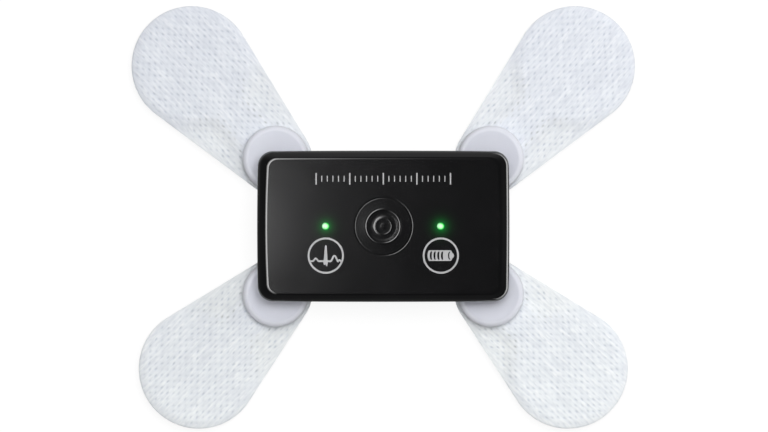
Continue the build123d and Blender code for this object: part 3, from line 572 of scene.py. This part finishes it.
rod_finish = glowing_rod()
rod_foot_z, collar_foot_z, collar_radius, window_rise = 10.3, 12.9, 1.5, 0.07
for side, side_name in ((-1, "left"), (1, "right")):
    rod_outline = [(0, rod_foot_z), (lamp_window_radius, rod_foot_z), (lamp_window_radius, collar_foot_z)]
    rod_outline += [(collar_radius, collar_foot_z), (collar_radius, roof_z), (lamp_window_radius, roof_z)]
    rod_outline += cap(lamp_window_radius, window_rise, crown_z(lamp_x))
    rod_place = (side * lamp_x, cover_middle_y)
    light_rod = turned(f"light_rod_{side_name}", rod_outline, steps=48, place=rod_place)
    settle(light_rod, "recorder", rod_finish)
    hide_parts("light_rods")

# Printed symbols and scale
# Screen-printed in light grey ink on the face: a heart trace in a ring under one lamp, a
# battery in a ring under the other, and a scale of 24 plain divisions along the upper edge.
ink = moulded("ink_grey", (168, 168, 169), (178, 178, 179), 0.45, patch=2, grain=0.12, depth=0.003)
ink_rise = 0.02


def printed(name, outlines, place):
    """Ink on the crowned face, from closed outlines; an outline inside another is a hole."""
    curve = bpy.data.curves.new(name, "CURVE")
    curve.dimensions = "2D"
    curve.fill_mode = "BOTH"
    curve.extrude = ink_rise * mm
    for outline in outlines:
        spline = curve.splines.new("POLY")
        spline.points.add(len(outline) - 1)
        spline.points.foreach_set("co", [c for x, y in outline for c in (x * mm, y * mm, 0, 1)])
        spline.use_cyclic_u = True
    drawn = bpy.data.objects.new(name, curve)
    mesh = bpy.data.meshes.new_from_object(drawn)
    piece = bpy.data.objects.new(name, mesh)
    bpy.data.objects.remove(drawn)
    bpy.context.scene.collection.objects.link(piece)
    for vertex in mesh.vertices:
        vertex.co.x += place[0] * mm
        vertex.co.y += (place[1] + cover_middle_y) * mm
        vertex.co.z += crown_z(vertex.co.x / mm) * mm
    mesh.name = name
    settle(piece, "recorder", ink)


def circle_line(radius, steps=96):
    """Points round a circle."""
    turns = [2 * math.pi * i / steps for i in range(steps)]
    return [(radius * math.cos(a), radius * math.sin(a)) for a in turns]


def ribbon(points, width):
    """The closed outline of a line of a width through points."""
    sides = ([], [])
    for i, point in enumerate(points):
        here = Vector(point)
        back = (here - Vector(points[i - 1])).normalized() if i else None
        on = (Vector(points[i + 1]) - here).normalized() if i < len(points) - 1 else back
        back = back or on
        middle = (back + on).normalized()
        across = Vector((-middle.y, middle.x)) * (width / 2 / max(0.5, middle.dot(on)))
        sides[0].append(tuple(here + across))
        sides[1].append(tuple(here - across))
    return sides[0] + sides[1][::-1]


symbol_y = -7.6
symbol_ring = [circle_line(4.68), circle_line(4.21)]
trace_width = 0.44
before_beat = [(-4.2, -1.43), (-3.42, -1.43), (-3.21, -1.34), (-2.92, -0.96), (-2.76, -0.8), (-2.6, -0.75)]
before_beat += [(-2.44, -0.8), (-2.28, -0.96), (-1.99, -1.34), (-1.78, -1.43), (-0.58, -1.43)]
after_beat = [(0.52, -1.43), (1.24, -1.43), (1.43, -1.34), (1.62, -0.97), (1.93, -0.27), (2.08, -0.11)]
after_beat += [(2.24, -0.06), (2.4, -0.11), (2.55, -0.27), (2.84, -0.93), (3.08, -1.46), (3.18, -1.48)]
after_beat += [(3.42, -1.21), (3.54, -1.16), (3.69, -1.22), (3.88, -1.4), (4.15, -1.43)]
beat = [(-0.6, -1.21), (-0.53, -1.1), (-0.44, -0.4), (-0.25, 2.24), (-0.15, 2.58), (0.02, 2.71)]
beat += [(0.18, 2.58), (0.26, 2.24), (0.4, 0.1), (0.44, -1.1), (0.54, -1.21), (0.54, -1.65)]
beat += [(0.5, -1.87), (0.42, -2.55), (0.34, -2.69), (0.25, -2.74), (0.13, -2.69), (0.04, -2.5)]
beat += [(-0.1, -2.2), (-0.2, -2.36), (-0.37, -2.45), (-0.49, -2.36), (-0.6, -1.87), (-0.66, -1.65)]
beat += [(-0.62, -1.65)]
printed("heart_ring", symbol_ring, (-lamp_x, symbol_y))
printed("heart_trace_before", [ribbon(before_beat, trace_width)], (-lamp_x, symbol_y))
printed("heart_trace_beat", [beat], (-lamp_x, symbol_y))
printed("heart_trace_after", [ribbon(after_beat, trace_width)], (-lamp_x, symbol_y))


def bowed_slot(x, left_bulge, right_bulge, half_height=1.06, width=0.3):
    """A gap between two bands of the battery, bowed to the left."""
    turns = [math.pi * i / 12 - math.pi / 2 for i in range(13)]
    left = [(x - left_bulge * math.cos(t), half_height * math.sin(t)) for t in turns]
    right = [(x + width - right_bulge * math.cos(t), half_height * math.sin(t)) for t in reversed(turns)]
    return left + right


battery_half = [(-3.45, 0.0), (-3.43, -0.45), (-3.3, -0.95), (-3.1, -1.3), (-2.85, -1.38), (2.45, -1.38)]
battery_half += [(2.68, -1.28), (2.85, -1.0), (3.05, -0.62), (3.3, -0.42), (3.42, 0.0)]
battery_outline = battery_half + [(x, -y) for x, y in reversed(battery_half[1:-1])]
battery_gaps = [bowed_slot(x, 0.36, 0.16) for x in (-2.5, -1.55, -0.58, 0.38)]
battery_gaps.append(bowed_slot(2.3, 0.46, 0.42))
printed("battery_ring", symbol_ring, (lamp_x, symbol_y))
printed("battery_symbol", [battery_outline] + battery_gaps, (lamp_x, symbol_y))

scale_y, scale_half_length, scale_divisions, long_tick_every = 12.3, 17.4, 24, 6
for i in range(scale_divisions + 1):
    x = scale_half_length * (2 * i / scale_divisions - 1)
    half_height, half_width = (0.75, 0.12) if i % long_tick_every else (1.5, 0.17)
    tick = [(sx * half_width, sy * half_height) for sx, sy in ((-1, -1), (1, -1), (1, 1), (-1, 1))]
    printed(f"scale_tick_{i:02d}", [tick], (x, scale_y))

# Snap ears, their sockets and spring rings
# Soft lavender-grey moulded ears reach out from under the housing's corners. Each holds a
# nickel-plated cup with a ring of steel wire, which grips the electrode's stud.
ear_x, ear_y = 27.95, 17.55
corners = {"upper_left": (-1, 1), "upper_right": (1, 1), "lower_left": (-1, -1), "lower_right": (1, -1)}


def satin_lavender():
    """Soft translucent plastic, with a painted highlight on its rounded edge and painted light at its rim.
    """
    edge_sheen_from, edge_sheen_full, rim_light_from, rim_light_full = 7.0 * mm, 7.5 * mm, 8.1 * mm, 8.5 * mm
    finish, tree, shader, place = start_finish("ear_lavender")
    clouds = speckle(tree, place, 12 * mm, 2)
    reach = plan_reach(tree, place, ear_x, ear_y, each_side=True)
    colour = cloudy(tree, clouds, (208, 210, 220), (212, 214, 223))
    # Painted highlight: the colour is lighter over the rounded edge, in place of its sheen.
    colour = tint(tree, spread(tree, reach, 0, 1, edge_sheen_from, edge_sheen_full), colour, seen(226, 228, 236))
    # Painted light: the rim is made lighter, which lifts the shade along it.
    colour = tint(tree, spread(tree, reach, 0, 1, rim_light_from, rim_light_full), colour, seen(221, 222, 229))
    feed(shader, {"Base Color": colour, "Roughness": spread(tree, clouds, 0.45, 0.55)})
    feed(shader, {"Subsurface Weight": 0.2, "Subsurface Scale": 0.5 * mm})
    feed(shader, {"Subsurface Radius": (1, 1, 1)})
    raise_grain(tree, shader, speckle(tree, place, 0.3 * mm), 0.004 * mm)
    return finish


ear_lavender = satin_lavender()
nickel = moulded(
    "nickel", (196, 194, 188), (214, 212, 206), 0.16,
    patch=2, grain=0.12, depth=0.002, metal=1.0, stretch=(1, 1, 8),
)
for corner in corners:
    dress(ear_lavender, f"snap_ear_{corner}")
    dress(nickel, f"snap_socket_{corner}", f"stud_{corner}")
    dress(drawn_steel, f"snap_ring_{corner}")

# Electrodes under the cloth
# Die-cut keyhole rings of white closed-cell foam hold a disc of clear contact gel. A printed
# silver strip runs from the gel to the eyelet, whose post is pressed into the snap stud.
drop_lengths = {1: 32.6, -1: 28.0}
electrode_angles = {1: 47.7, -1: 44.2}
gel_radius, gel_thickness, gel_foot_rounding, gel_top_rounding = 10.0, 1.0, 0.3, 0.12
foam_rounding = 0.1 * mm
silver_ink = moulded(
    "silver_ink", (176, 177, 180), (190, 191, 194), 0.4, patch=1.5, grain=0.15, depth=0.004, metal=0.7
)
eyelet_coat = moulded(
    "eyelet_coat", (196, 196, 196), (210, 210, 210), 0.3, patch=1.5, grain=0.12, depth=0.003, metal=0.9
)


def foam_finish():
    """Closed-cell foam: fine round cells in a soft white skin."""
    finish, tree, shader, place = start_finish("foam_white")
    cells = wire(tree, "TexVoronoi", {"Vector": place, "Scale": 1 / (0.35 * mm)}).outputs["Distance"]
    colour = tint(tree, cells, seen(226, 230, 236), seen(240, 242, 246))
    feed(shader, {"Base Color": colour, "Roughness": 0.75})
    feed(shader, {"Subsurface Weight": 0.15, "Subsurface Scale": 0.4 * mm})
    raise_grain(tree, shader, cells, 0.03 * mm)
    return finish


def gel_finish():
    """Clear wet gel with a faint blue tint."""
    finish, tree, shader, place = start_finish("gel_clear")
    clouds = speckle(tree, place, 4 * mm, 3)
    colour = cloudy(tree, clouds, (196, 216, 226), (222, 236, 242))
    feed(shader, {"Base Color": colour, "Roughness": spread(tree, clouds, 0.06, 0.14)})
    feed(shader, {"Transmission Weight": 0.6, "IOR": 1.36})
    raise_grain(tree, shader, speckle(tree, place, 1.5 * mm), 0.02 * mm)
    return finish


def corner_turn(corner):
    """An electrode's place and turn, with its ear at the origin and its drop along X."""
    sx, sy = corners[corner]
    angle = math.radians(electrode_angles[sy] * sx * sy + (0 if sx > 0 else 180))
    place = (sx * ear_x * mm, (sy * ear_y + cover_middle_y) * mm, 0)
    return Matrix.Translation(place) @ Matrix.Rotation(angle, 4, "Z")


def copied(piece, name, turn):
    """A copy of a piece with its own mesh, turned to its place."""
    copy = bpy.data.objects.new(name, piece.data.copy())
    copy.data.name = name
    copy.data.transform(turn)
    bpy.context.scene.collection.objects.link(copy)
    return copy


foam_white, gel_clear = foam_finish(), gel_finish()
gel_side = [(gel_radius, 0, gel_foot_rounding), (gel_radius, gel_thickness, gel_top_rounding)]
gel_pattern = turned("gel_pattern", eased([(0, 0, 0)] + gel_side + [(0, gel_thickness, 0)]))
for corner, (_, side) in corners.items():
    body = f"electrode_{corner}"
    dress(silver_ink, f"sensor_strip_{corner}")
    dress(eyelet_coat, f"eyelet_{corner}")
    foam = copied(nodes[f"foam_carrier_{corner}"], f"foam_ring_{corner}", Matrix.Identity(4))
    pick_out(foam)
    bpy.ops.object.mode_set(mode="EDIT")
    bpy.ops.mesh.select_all(action="SELECT")
    bpy.ops.mesh.remove_doubles(threshold=merge_reach)
    bpy.ops.mesh.dissolve_limited(angle_limit=math.radians(2))
    bpy.ops.object.mode_set(mode="OBJECT")
    sharp = math.radians(50)
    apply_modifier(foam, "BEVEL", width=foam_rounding, segments=3, limit_method="ANGLE", angle_limit=sharp)
    smooth(foam)
    settle(foam, body, foam_white)
    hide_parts(f"foam_carrier_{corner}")
    to_broad_end = Matrix.Translation((drop_lengths[side] * mm, 0, 0))
    gel = copied(gel_pattern, f"gel_disc_{corner}", corner_turn(corner) @ to_broad_end)
    settle(gel, body, gel_clear)
    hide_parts(f"gel_pad_{corner}")
bpy.data.objects.remove(gel_pattern)

# Cloth backings
# Drop-shaped pieces of white nonwoven, point-bonded by a roller: rows of small pressed slits
# with ridges of fibres between them. The cloth rises over the keyhole-shaped foam below it.
drop_big_radius, drop_small_radius = 15.6, 9.4
cloth_thickness, cloth_step = 0.4, 0.2
carrier_disc_radius, carrier_tail_radius, carrier_neck_width, neck_fillet = 13.0, 7.2, 6.4, 4.0
land_height, land_start, land_run = 1.0, 0.1, 4.5
rim_crush, rim_run, bondless_rim = 0.10, 0.35, 0.5
bond_pitch, bond_length, bond_width, bond_depth = 1.55, 0.45, 0.19, 0.17
bond_stray_u, bond_stray_v, bond_lean, weakest_bond, bond_seed = 0.24, 0.2, 0.5, 0.25, 7
fibre_depth = 0.045
fibre_sets = ({"length": 2.6, "width": 0.27, "angle": 0.09, "seed": 3},
              {"length": 1.5, "width": 0.21, "angle": -0.10, "seed": 5})


def drop_reach(u, v, length):
    """Distance out from the drop's outline, less than zero inside it."""
    slope = (drop_small_radius - drop_big_radius) / length
    across = math.sqrt(1 - slope * slope)
    v = np.abs(v)
    along = -slope * v + across * u
    middle = across * v + slope * u - drop_small_radius
    reach = np.where(along < 0, np.hypot(u, v) - drop_small_radius, middle)
    return np.where(along > across * length, np.hypot(u - length, v) - drop_big_radius, reach)


def joined_reach(first, second, fillet):
    """Distance out from two joined outlines with a rounded corner between them."""
    a, b = np.maximum(fillet - first, 0), np.maximum(fillet - second, 0)
    return np.maximum(fillet, np.minimum(first, second)) - np.hypot(a, b)


def carrier_reach(u, v, length):
    """Distance out from the foam's keyhole outline."""
    disc = np.hypot(u - length, v) - carrier_disc_radius
    tail = np.hypot(u, v) - carrier_tail_radius
    neck = np.maximum(np.abs(v) - carrier_neck_width / 2, np.abs(u - length / 2) - length / 2)
    return joined_reach(joined_reach(disc, neck, neck_fillet), tail, neck_fillet)


def eased_in(share):
    """A share from 0 to 1 that starts and ends softly."""
    return share * share * (3 - 2 * share)


def fibre_field(u, v, length, width, angle, seed):
    """Random streaks from -1 to 1, blended between the points of a table that covers the drop."""
    table_size, stud_row, stud_column = (140, 500), 60, 200
    c, s = math.cos(angle), math.sin(angle)
    a, b = (c * u + s * v) / length + stud_row, (-s * u + c * v) / width + stud_column
    grid = np.random.default_rng(seed).uniform(-1, 1, table_size)
    ia, ib = np.floor(a).astype(int), np.floor(b).astype(int)
    fa, fb = eased_in(a - ia), eased_in(b - ib)
    low = grid[ia, ib] * (1 - fb) + grid[ia, ib + 1] * fb
    high = grid[ia + 1, ib] * (1 - fb) + grid[ia + 1, ib + 1] * fb
    return low * (1 - fa) + high * fa


def bonds(u, v):
    """How deep each point lies in a pressed slit, 0 to 1. The slits' rows run at 45 degrees."""
    row, half_table = bond_pitch / math.sqrt(2), 60
    p, q = (u + v) / math.sqrt(2) / bond_pitch, (u - v) / math.sqrt(2) / bond_pitch
    ip, iq = np.round(p).astype(int), np.round(q).astype(int)
    chance = np.random.default_rng(bond_seed).uniform(0, 1, (4, 2 * half_table, 2 * half_table))
    power, shift_u, shift_v, lean = (table[ip + half_table, iq + half_table] for table in chance)
    du = u - ((ip + iq) * row + (shift_u - 0.5) * bond_stray_u)
    dv = v - ((ip - iq) * row + (shift_v - 0.5) * bond_stray_v)
    angle = (lean - 0.5) * bond_lean
    along = (np.cos(angle) * du + np.sin(angle) * dv) / bond_length
    across = (-np.sin(angle) * du + np.cos(angle) * dv) / bond_width
    return np.exp(-(along**2 + across**2)) * (weakest_bond + (1 - weakest_bond) * power)


def cut_cloth(name, length):
    """A flat cloth drop, with its stud's place at the origin and its broad end along X."""
    spare, nudge, passes = 6, 0.01, 3
    columns = int((length + drop_big_radius + drop_small_radius) / cloth_step) + spare
    rows = int(2 * drop_big_radius / cloth_step) + spare
    cloth = start_piece(name, "grid", x_subdivisions=columns, y_subdivisions=rows, size=1)
    centre = (length + drop_big_radius - drop_small_radius) / 2
    for vertex in cloth.data.vertices:
        vertex.co = (vertex.co.x * columns * cloth_step + centre, vertex.co.y * rows * cloth_step, 0)
    bpy.ops.object.mode_set(mode="EDIT")
    bpy.ops.mesh.select_mode(type="FACE")
    bpy.ops.mesh.select_all(action="DESELECT")
    mesh = bmesh.from_edit_mesh(cloth.data)
    middles = np.array([f.calc_center_median() for f in mesh.faces])
    for face, outside in zip(mesh.faces, drop_reach(middles[:, 0], middles[:, 1], length) > 0):
        face.select = bool(outside)
    bpy.ops.mesh.delete(type="FACE")
    mesh = bmesh.from_edit_mesh(cloth.data)
    for vertex in (v for v in mesh.verts if v.is_boundary):
        for _ in range(passes):
            u, v = vertex.co.x, vertex.co.y
            spots = ((u, v), (u + nudge, v), (u, v + nudge))
            reach, along, across = (float(drop_reach(*spot, length)) for spot in spots)
            vertex.co -= Vector((along - reach, across - reach, 0)).normalized() * reach
    bmesh.update_edit_mesh(cloth.data)
    bpy.ops.object.mode_set(mode="OBJECT")
    apply_modifier(cloth, "SOLIDIFY", thickness=cloth_thickness, offset=-1)
    return cloth


def bonded_relief(cloth, length):
    """Lays the cloth over its foam and presses the bond pattern into it. What the finish has to know of each
    point goes into attributes: its slit, its fibres, where it lies alone, and the band by the foam's edge
    where its slits get painted shade."""
    waist_share, waist_run = 0.75, 6
    lone_start, lone_run, foam_shade_middle, foam_shade_half_width = 0.5, 2.5, 1.0, 2.2
    points = np.zeros(len(cloth.data.vertices) * 3)
    cloth.data.vertices.foreach_get("co", points)
    points = points.reshape(-1, 3)
    u, v = points[:, 0], points[:, 1]
    is_top = points[:, 2] > -cloth_thickness / 2
    from_rim = -drop_reach(u, v, length)
    from_foam = carrier_reach(u, v, length)
    land = eased_in(np.clip(1 - (from_foam - land_start) / land_run, 0, 1))
    waist = np.clip((length * waist_share - u) / waist_run, 0, 1)
    lone = np.clip((from_foam - lone_start) / lone_run, 0, 1) * waist
    # Painted shade: a band along the foam's edge, where the cloth's slits are painted darker.
    foam_edge_shade = np.clip(1 - np.abs(from_foam - foam_shade_middle) / foam_shade_half_width, 0, 1) * waist
    bond = bonds(u, v) * np.clip(from_rim - bondless_rim, 0, 1)
    fibres = sum(fibre_field(u, v, **sizes) for sizes in fibre_sets) / len(fibre_sets)
    relief = fibre_depth * fibres - bond_depth * bond - rim_crush * np.clip(1 - from_rim / rim_run, 0, 1)
    points[:, 2] = land * land_height + np.where(is_top, cloth_thickness + relief, 0)
    cloth.data.vertices.foreach_set("co", (points * mm).ravel())
    for name, values in (("bond", bond), ("fibre", fibres), ("lone", lone), ("foam_edge_shade", foam_edge_shade)):
        attribute = cloth.data.attributes.new(name, "FLOAT", "POINT")
        attribute.data.foreach_set("value", values.astype(np.float32))
    cloth.data.update()


def bonded_cloth():
    """White nonwoven: bluish over the foam, greyer where it lies alone, darker in its slits, which carry
    painted shade, most of all along the foam's edge. Painted shade and highlight follow its fibres' relief.
    A painted light falloff makes it a little lighter to the right, and darker and bluer upwards, by gains
    per metre."""
    middle_gain, gain_to_right, white_gain_up, blue_gain_up = 1.02, 0.45, -1.0, -0.6
    finish, tree, shader, place = start_finish("cloth_white")
    attributes = [wire(tree, "Attribute", attribute_name=n) for n in ("bond", "fibre", "lone", "foam_edge_shade")]
    bond, fibre, lone, foam_edge_shade = (a.outputs["Fac"] for a in attributes)
    clouds = speckle(tree, place, 5 * mm, 3)
    fine = speckle(tree, place, 0.18 * mm, 2)
    over_foam = cloudy(tree, clouds, (226, 230, 236), (232, 236, 241))
    by_itself = cloudy(tree, clouds, (227, 231, 234), (234, 237, 239))
    ground = tint(tree, lone, over_foam, by_itself)
    # Painted shade and highlight: the cloth is darker where the fibre relief is low and lighter where it is
    # high.
    ground = tint(tree, spread(tree, fibre, 0, 0.4, -0.05, -0.7), ground, seen(206, 210, 218))
    ground = tint(tree, spread(tree, fibre, 0, 0.6, 0.0, 0.7), ground, seen(249, 251, 253))
    # Slits: greyer where the bond presses the cloth, darker by painted shade in their hollows, and darkest
    # as painted shade along the foam's edge.
    slit_tone_and_shade = tint(tree, foam_edge_shade, seen(176, 184, 198), seen(146, 149, 146))
    colour = tint(tree, times(tree, bond, 0.8), ground, slit_tone_and_shade)
    # Painted light falloff: the colour is made lighter to the right, and darker and bluer upwards.
    x, y, _ = wire(tree, "SeparateXYZ", {0: place}).outputs
    gain = plus(tree, times(tree, x, gain_to_right), middle_gain)
    white = plus(tree, gain, times(tree, y, white_gain_up))
    blue = plus(tree, gain, times(tree, y, blue_gain_up))
    gains = wire(tree, "CombineXYZ", {0: white, 1: white, 2: blue}).outputs[0]
    colour = wire(tree, "VectorMath", {0: colour, 1: gains}, operation="MULTIPLY").outputs[0]
    gloss = spread(tree, fine, 0.7, 0.9)
    feed(shader, {"Base Color": colour, "Roughness": gloss, "Sheen Weight": 0.08})
    feed(shader, {"Subsurface Weight": 0.1, "Subsurface Scale": 0.2 * mm})
    feed(shader, {"Subsurface Radius": (1, 1, 1)})
    raise_grain(tree, shader, fine, 0.02 * mm)
    return finish


cloth_white = bonded_cloth()
for side, length in drop_lengths.items():
    pattern = cut_cloth("cloth_pattern", length)
    bonded_relief(pattern, length)
    for corner in (c for c in corners if corners[c][1] == side):
        backing = copied(pattern, f"cloth_backing_{corner}", corner_turn(corner))
        smooth(backing, 60)
        settle(backing, f"electrode_{corner}", cloth_white)
        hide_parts(f"backing_{corner}")
    bpy.data.objects.remove(pattern)


# Floor, lamps and studio
# A white table under soft light from above, at the height of the electrodes when they are
# unsnapped. The polished face mirrors a tent, bright on its upper left. Sizes here are in metres.
def start_studio(block):
    """An empty node tree for a material or world of the studio."""
    block.use_nodes = True
    block.node_tree.nodes.clear()
    return block.node_tree


def ray_kinds(tree):
    """Whether a ray comes from the camera, and whether from a mirror or through glass."""
    path = wire(tree, "LightPath").outputs
    return path["Is Camera Ray"], calc(tree, "MAXIMUM", path["Is Glossy Ray"], path["Is Transmission Ray"])


floor_z = -4.7 * mm
matt_share, camera_lift, mirror_lift = 0.16, 0.88, 0.15
mirror_lift_right, mirror_lift_top = 7.0, 0.3
floor = start_piece("floor", "plane", size=6, location=(0, 0, floor_z))
floor_finish = bpy.data.materials.new("floor_white")
tree = start_studio(floor_finish)
from_camera, mirrored = ray_kinds(tree)
matt_level = times(tree, calc(tree, "SUBTRACT", 1.0, mirrored), matt_share)
matt = wire(tree, "BsdfDiffuse", {"Color": matt_level}).outputs[0]
x, y, _ = wire(tree, "SeparateXYZ", {0: wire(tree, "TexCoord").outputs["Object"]}).outputs
to_right = spread(tree, x, 0.0, mirror_lift_right, start=0.056, end=0.088)
to_top = spread(tree, y, 0.0, mirror_lift_top, start=0.0, end=0.03)
in_mirror = plus(tree, to_right, plus(tree, to_top, mirror_lift))
in_mirror = times(tree, mirrored, in_mirror)
in_view = times(tree, from_camera, camera_lift)
lift = wire(tree, "Emission", {"Strength": plus(tree, in_view, in_mirror)}).outputs[0]
lit = wire(tree, "AddShader", {0: matt, 1: lift}).outputs[0]
clear = wire(tree, "BsdfTransparent").outputs[0]
from_below = wire(tree, "NewGeometry").outputs["Backfacing"]
floor_mix = wire(tree, "MixShader", {0: from_below, 1: lit, 2: clear})
wire(tree, "OutputMaterial", {"Surface": floor_mix.outputs[0]})
floor.data.materials.append(floor_finish)
floor.visible_diffuse = False

ambient = 0.34
world = bpy.data.worlds.new("studio")
bpy.context.scene.world = world
tree = start_studio(world)
shown = calc(tree, "MAXIMUM", *ray_kinds(tree))
level_of_sky = plus(tree, times(tree, shown, 1 - ambient), ambient)
sky = wire(tree, "Background", {"Color": (1, 1, 1, 1), "Strength": level_of_sky})
wire(tree, "OutputWorld", {"Surface": sky.outputs[0]})


def soft_lamp(name, place, size, power):
    """A square soft lamp that faces the recorder and leaves no mirror image."""
    data = bpy.data.lights.new(name, "AREA")
    data.size, data.energy = size, power
    lamp = bpy.data.objects.new(name, data)
    lamp.location = place
    lamp.rotation_euler = (-Vector(place)).to_track_quat("-Z", "Y").to_euler()
    lamp.visible_glossy = False
    bpy.context.scene.collection.objects.link(lamp)


soft_lamp("top_lamp", place=(0.10, 0.16, 1.05), size=0.45, power=7.0)
soft_lamp("side_lamp", place=(0.75, 0.50, 0.45), size=0.6, power=1.9)

tent_radius = 0.7
tent_middle_y = -0.0028
tent = start_piece("tent", "uv_sphere", segments=96, ring_count=48, radius=tent_radius)
smooth(tent, 180)
tent_finish = bpy.data.materials.new("tent_cloth")
tree = start_studio(tent_finish)
tent_x, tent_y, tent_z = wire(tree, "SeparateXYZ", {0: wire(tree, "TexCoord").outputs["Object"]}).outputs
slant = calc(tree, "ARCCOSINE", calc(tree, "DIVIDE", tent_z, tent_radius))


def fading(start, fade):
    """A level of 1 that falls off to the right of a start, by its fade length."""
    share = times(tree, plus(tree, tent_x, start), -1 / fade)
    return calc(tree, "MINIMUM", calc(tree, "EXPONENT", share), 1.0)


def soft_step(value, start, end, low, high):
    """A soft step from low to high while the value goes from start to end."""
    return spread(tree, value, low, high, start, end, "SMOOTHSTEP")


off_middle = calc(tree, "ABSOLUTE", calc(tree, "SUBTRACT", tent_y, tent_middle_y))
overhead = soft_step(slant, start=math.radians(12), end=math.radians(30), low=1.0, high=0.0)
near_middle = soft_step(off_middle, start=0.008, end=0.018, low=1.35, high=0.1)
low_side = soft_step(tent_y, start=-0.022, end=0.0, low=0.5, high=0.8)
face_glow = times(tree, fading(start=0.069, fade=0.0129), near_middle)
wide_glow = times(tree, fading(start=0.069, fade=0.0439), low_side)
glow = times(tree, plus(tree, face_glow, wide_glow), overhead)
left_box = soft_step(tent_x, start=-0.09, end=-0.14, low=0.0, high=12.0)
up_north = soft_step(tent_y, start=0.035, end=0.10, low=0.0, high=8.0)
north_box = times(tree, fading(start=0.062, fade=0.030), up_north)
high_up = soft_step(slant, start=math.radians(20), end=math.radians(48), low=1.0, high=0.0)
boxes = times(tree, calc(tree, "MAXIMUM", left_box, north_box), high_up)
boxes = times(tree, boxes, soft_step(tent_y, start=-0.3, end=0.0, low=0.2, high=1.0))
horizon = soft_step(slant, start=math.radians(50), end=math.radians(75), low=0.0, high=1.0)
north_rim = times(tree, soft_step(tent_y, start=0.3, end=0.6, low=0.0, high=0.34), horizon)
low_rim = times(tree, horizon, 0.1)
far_right = soft_step(tent_x, start=0.55, end=0.65, low=0.0, high=5.0)
right_rim = times(tree, far_right, soft_step(tent_z, start=0.03, end=0.06, low=1.0, high=0.0))
total = glow
for part in (boxes, north_rim, low_rim, right_rim):
    total = plus(tree, total, part)
wire(tree, "OutputMaterial", {"Surface": wire(tree, "Emission", {"Strength": total}).outputs[0]})
tent.data.materials.append(tent_finish)
tent_finish.cycles.emission_sampling = "NONE"
for rays in ("camera", "diffuse", "shadow", "transmission", "volume_scatter"):
    setattr(tent, f"visible_{rays}", False)
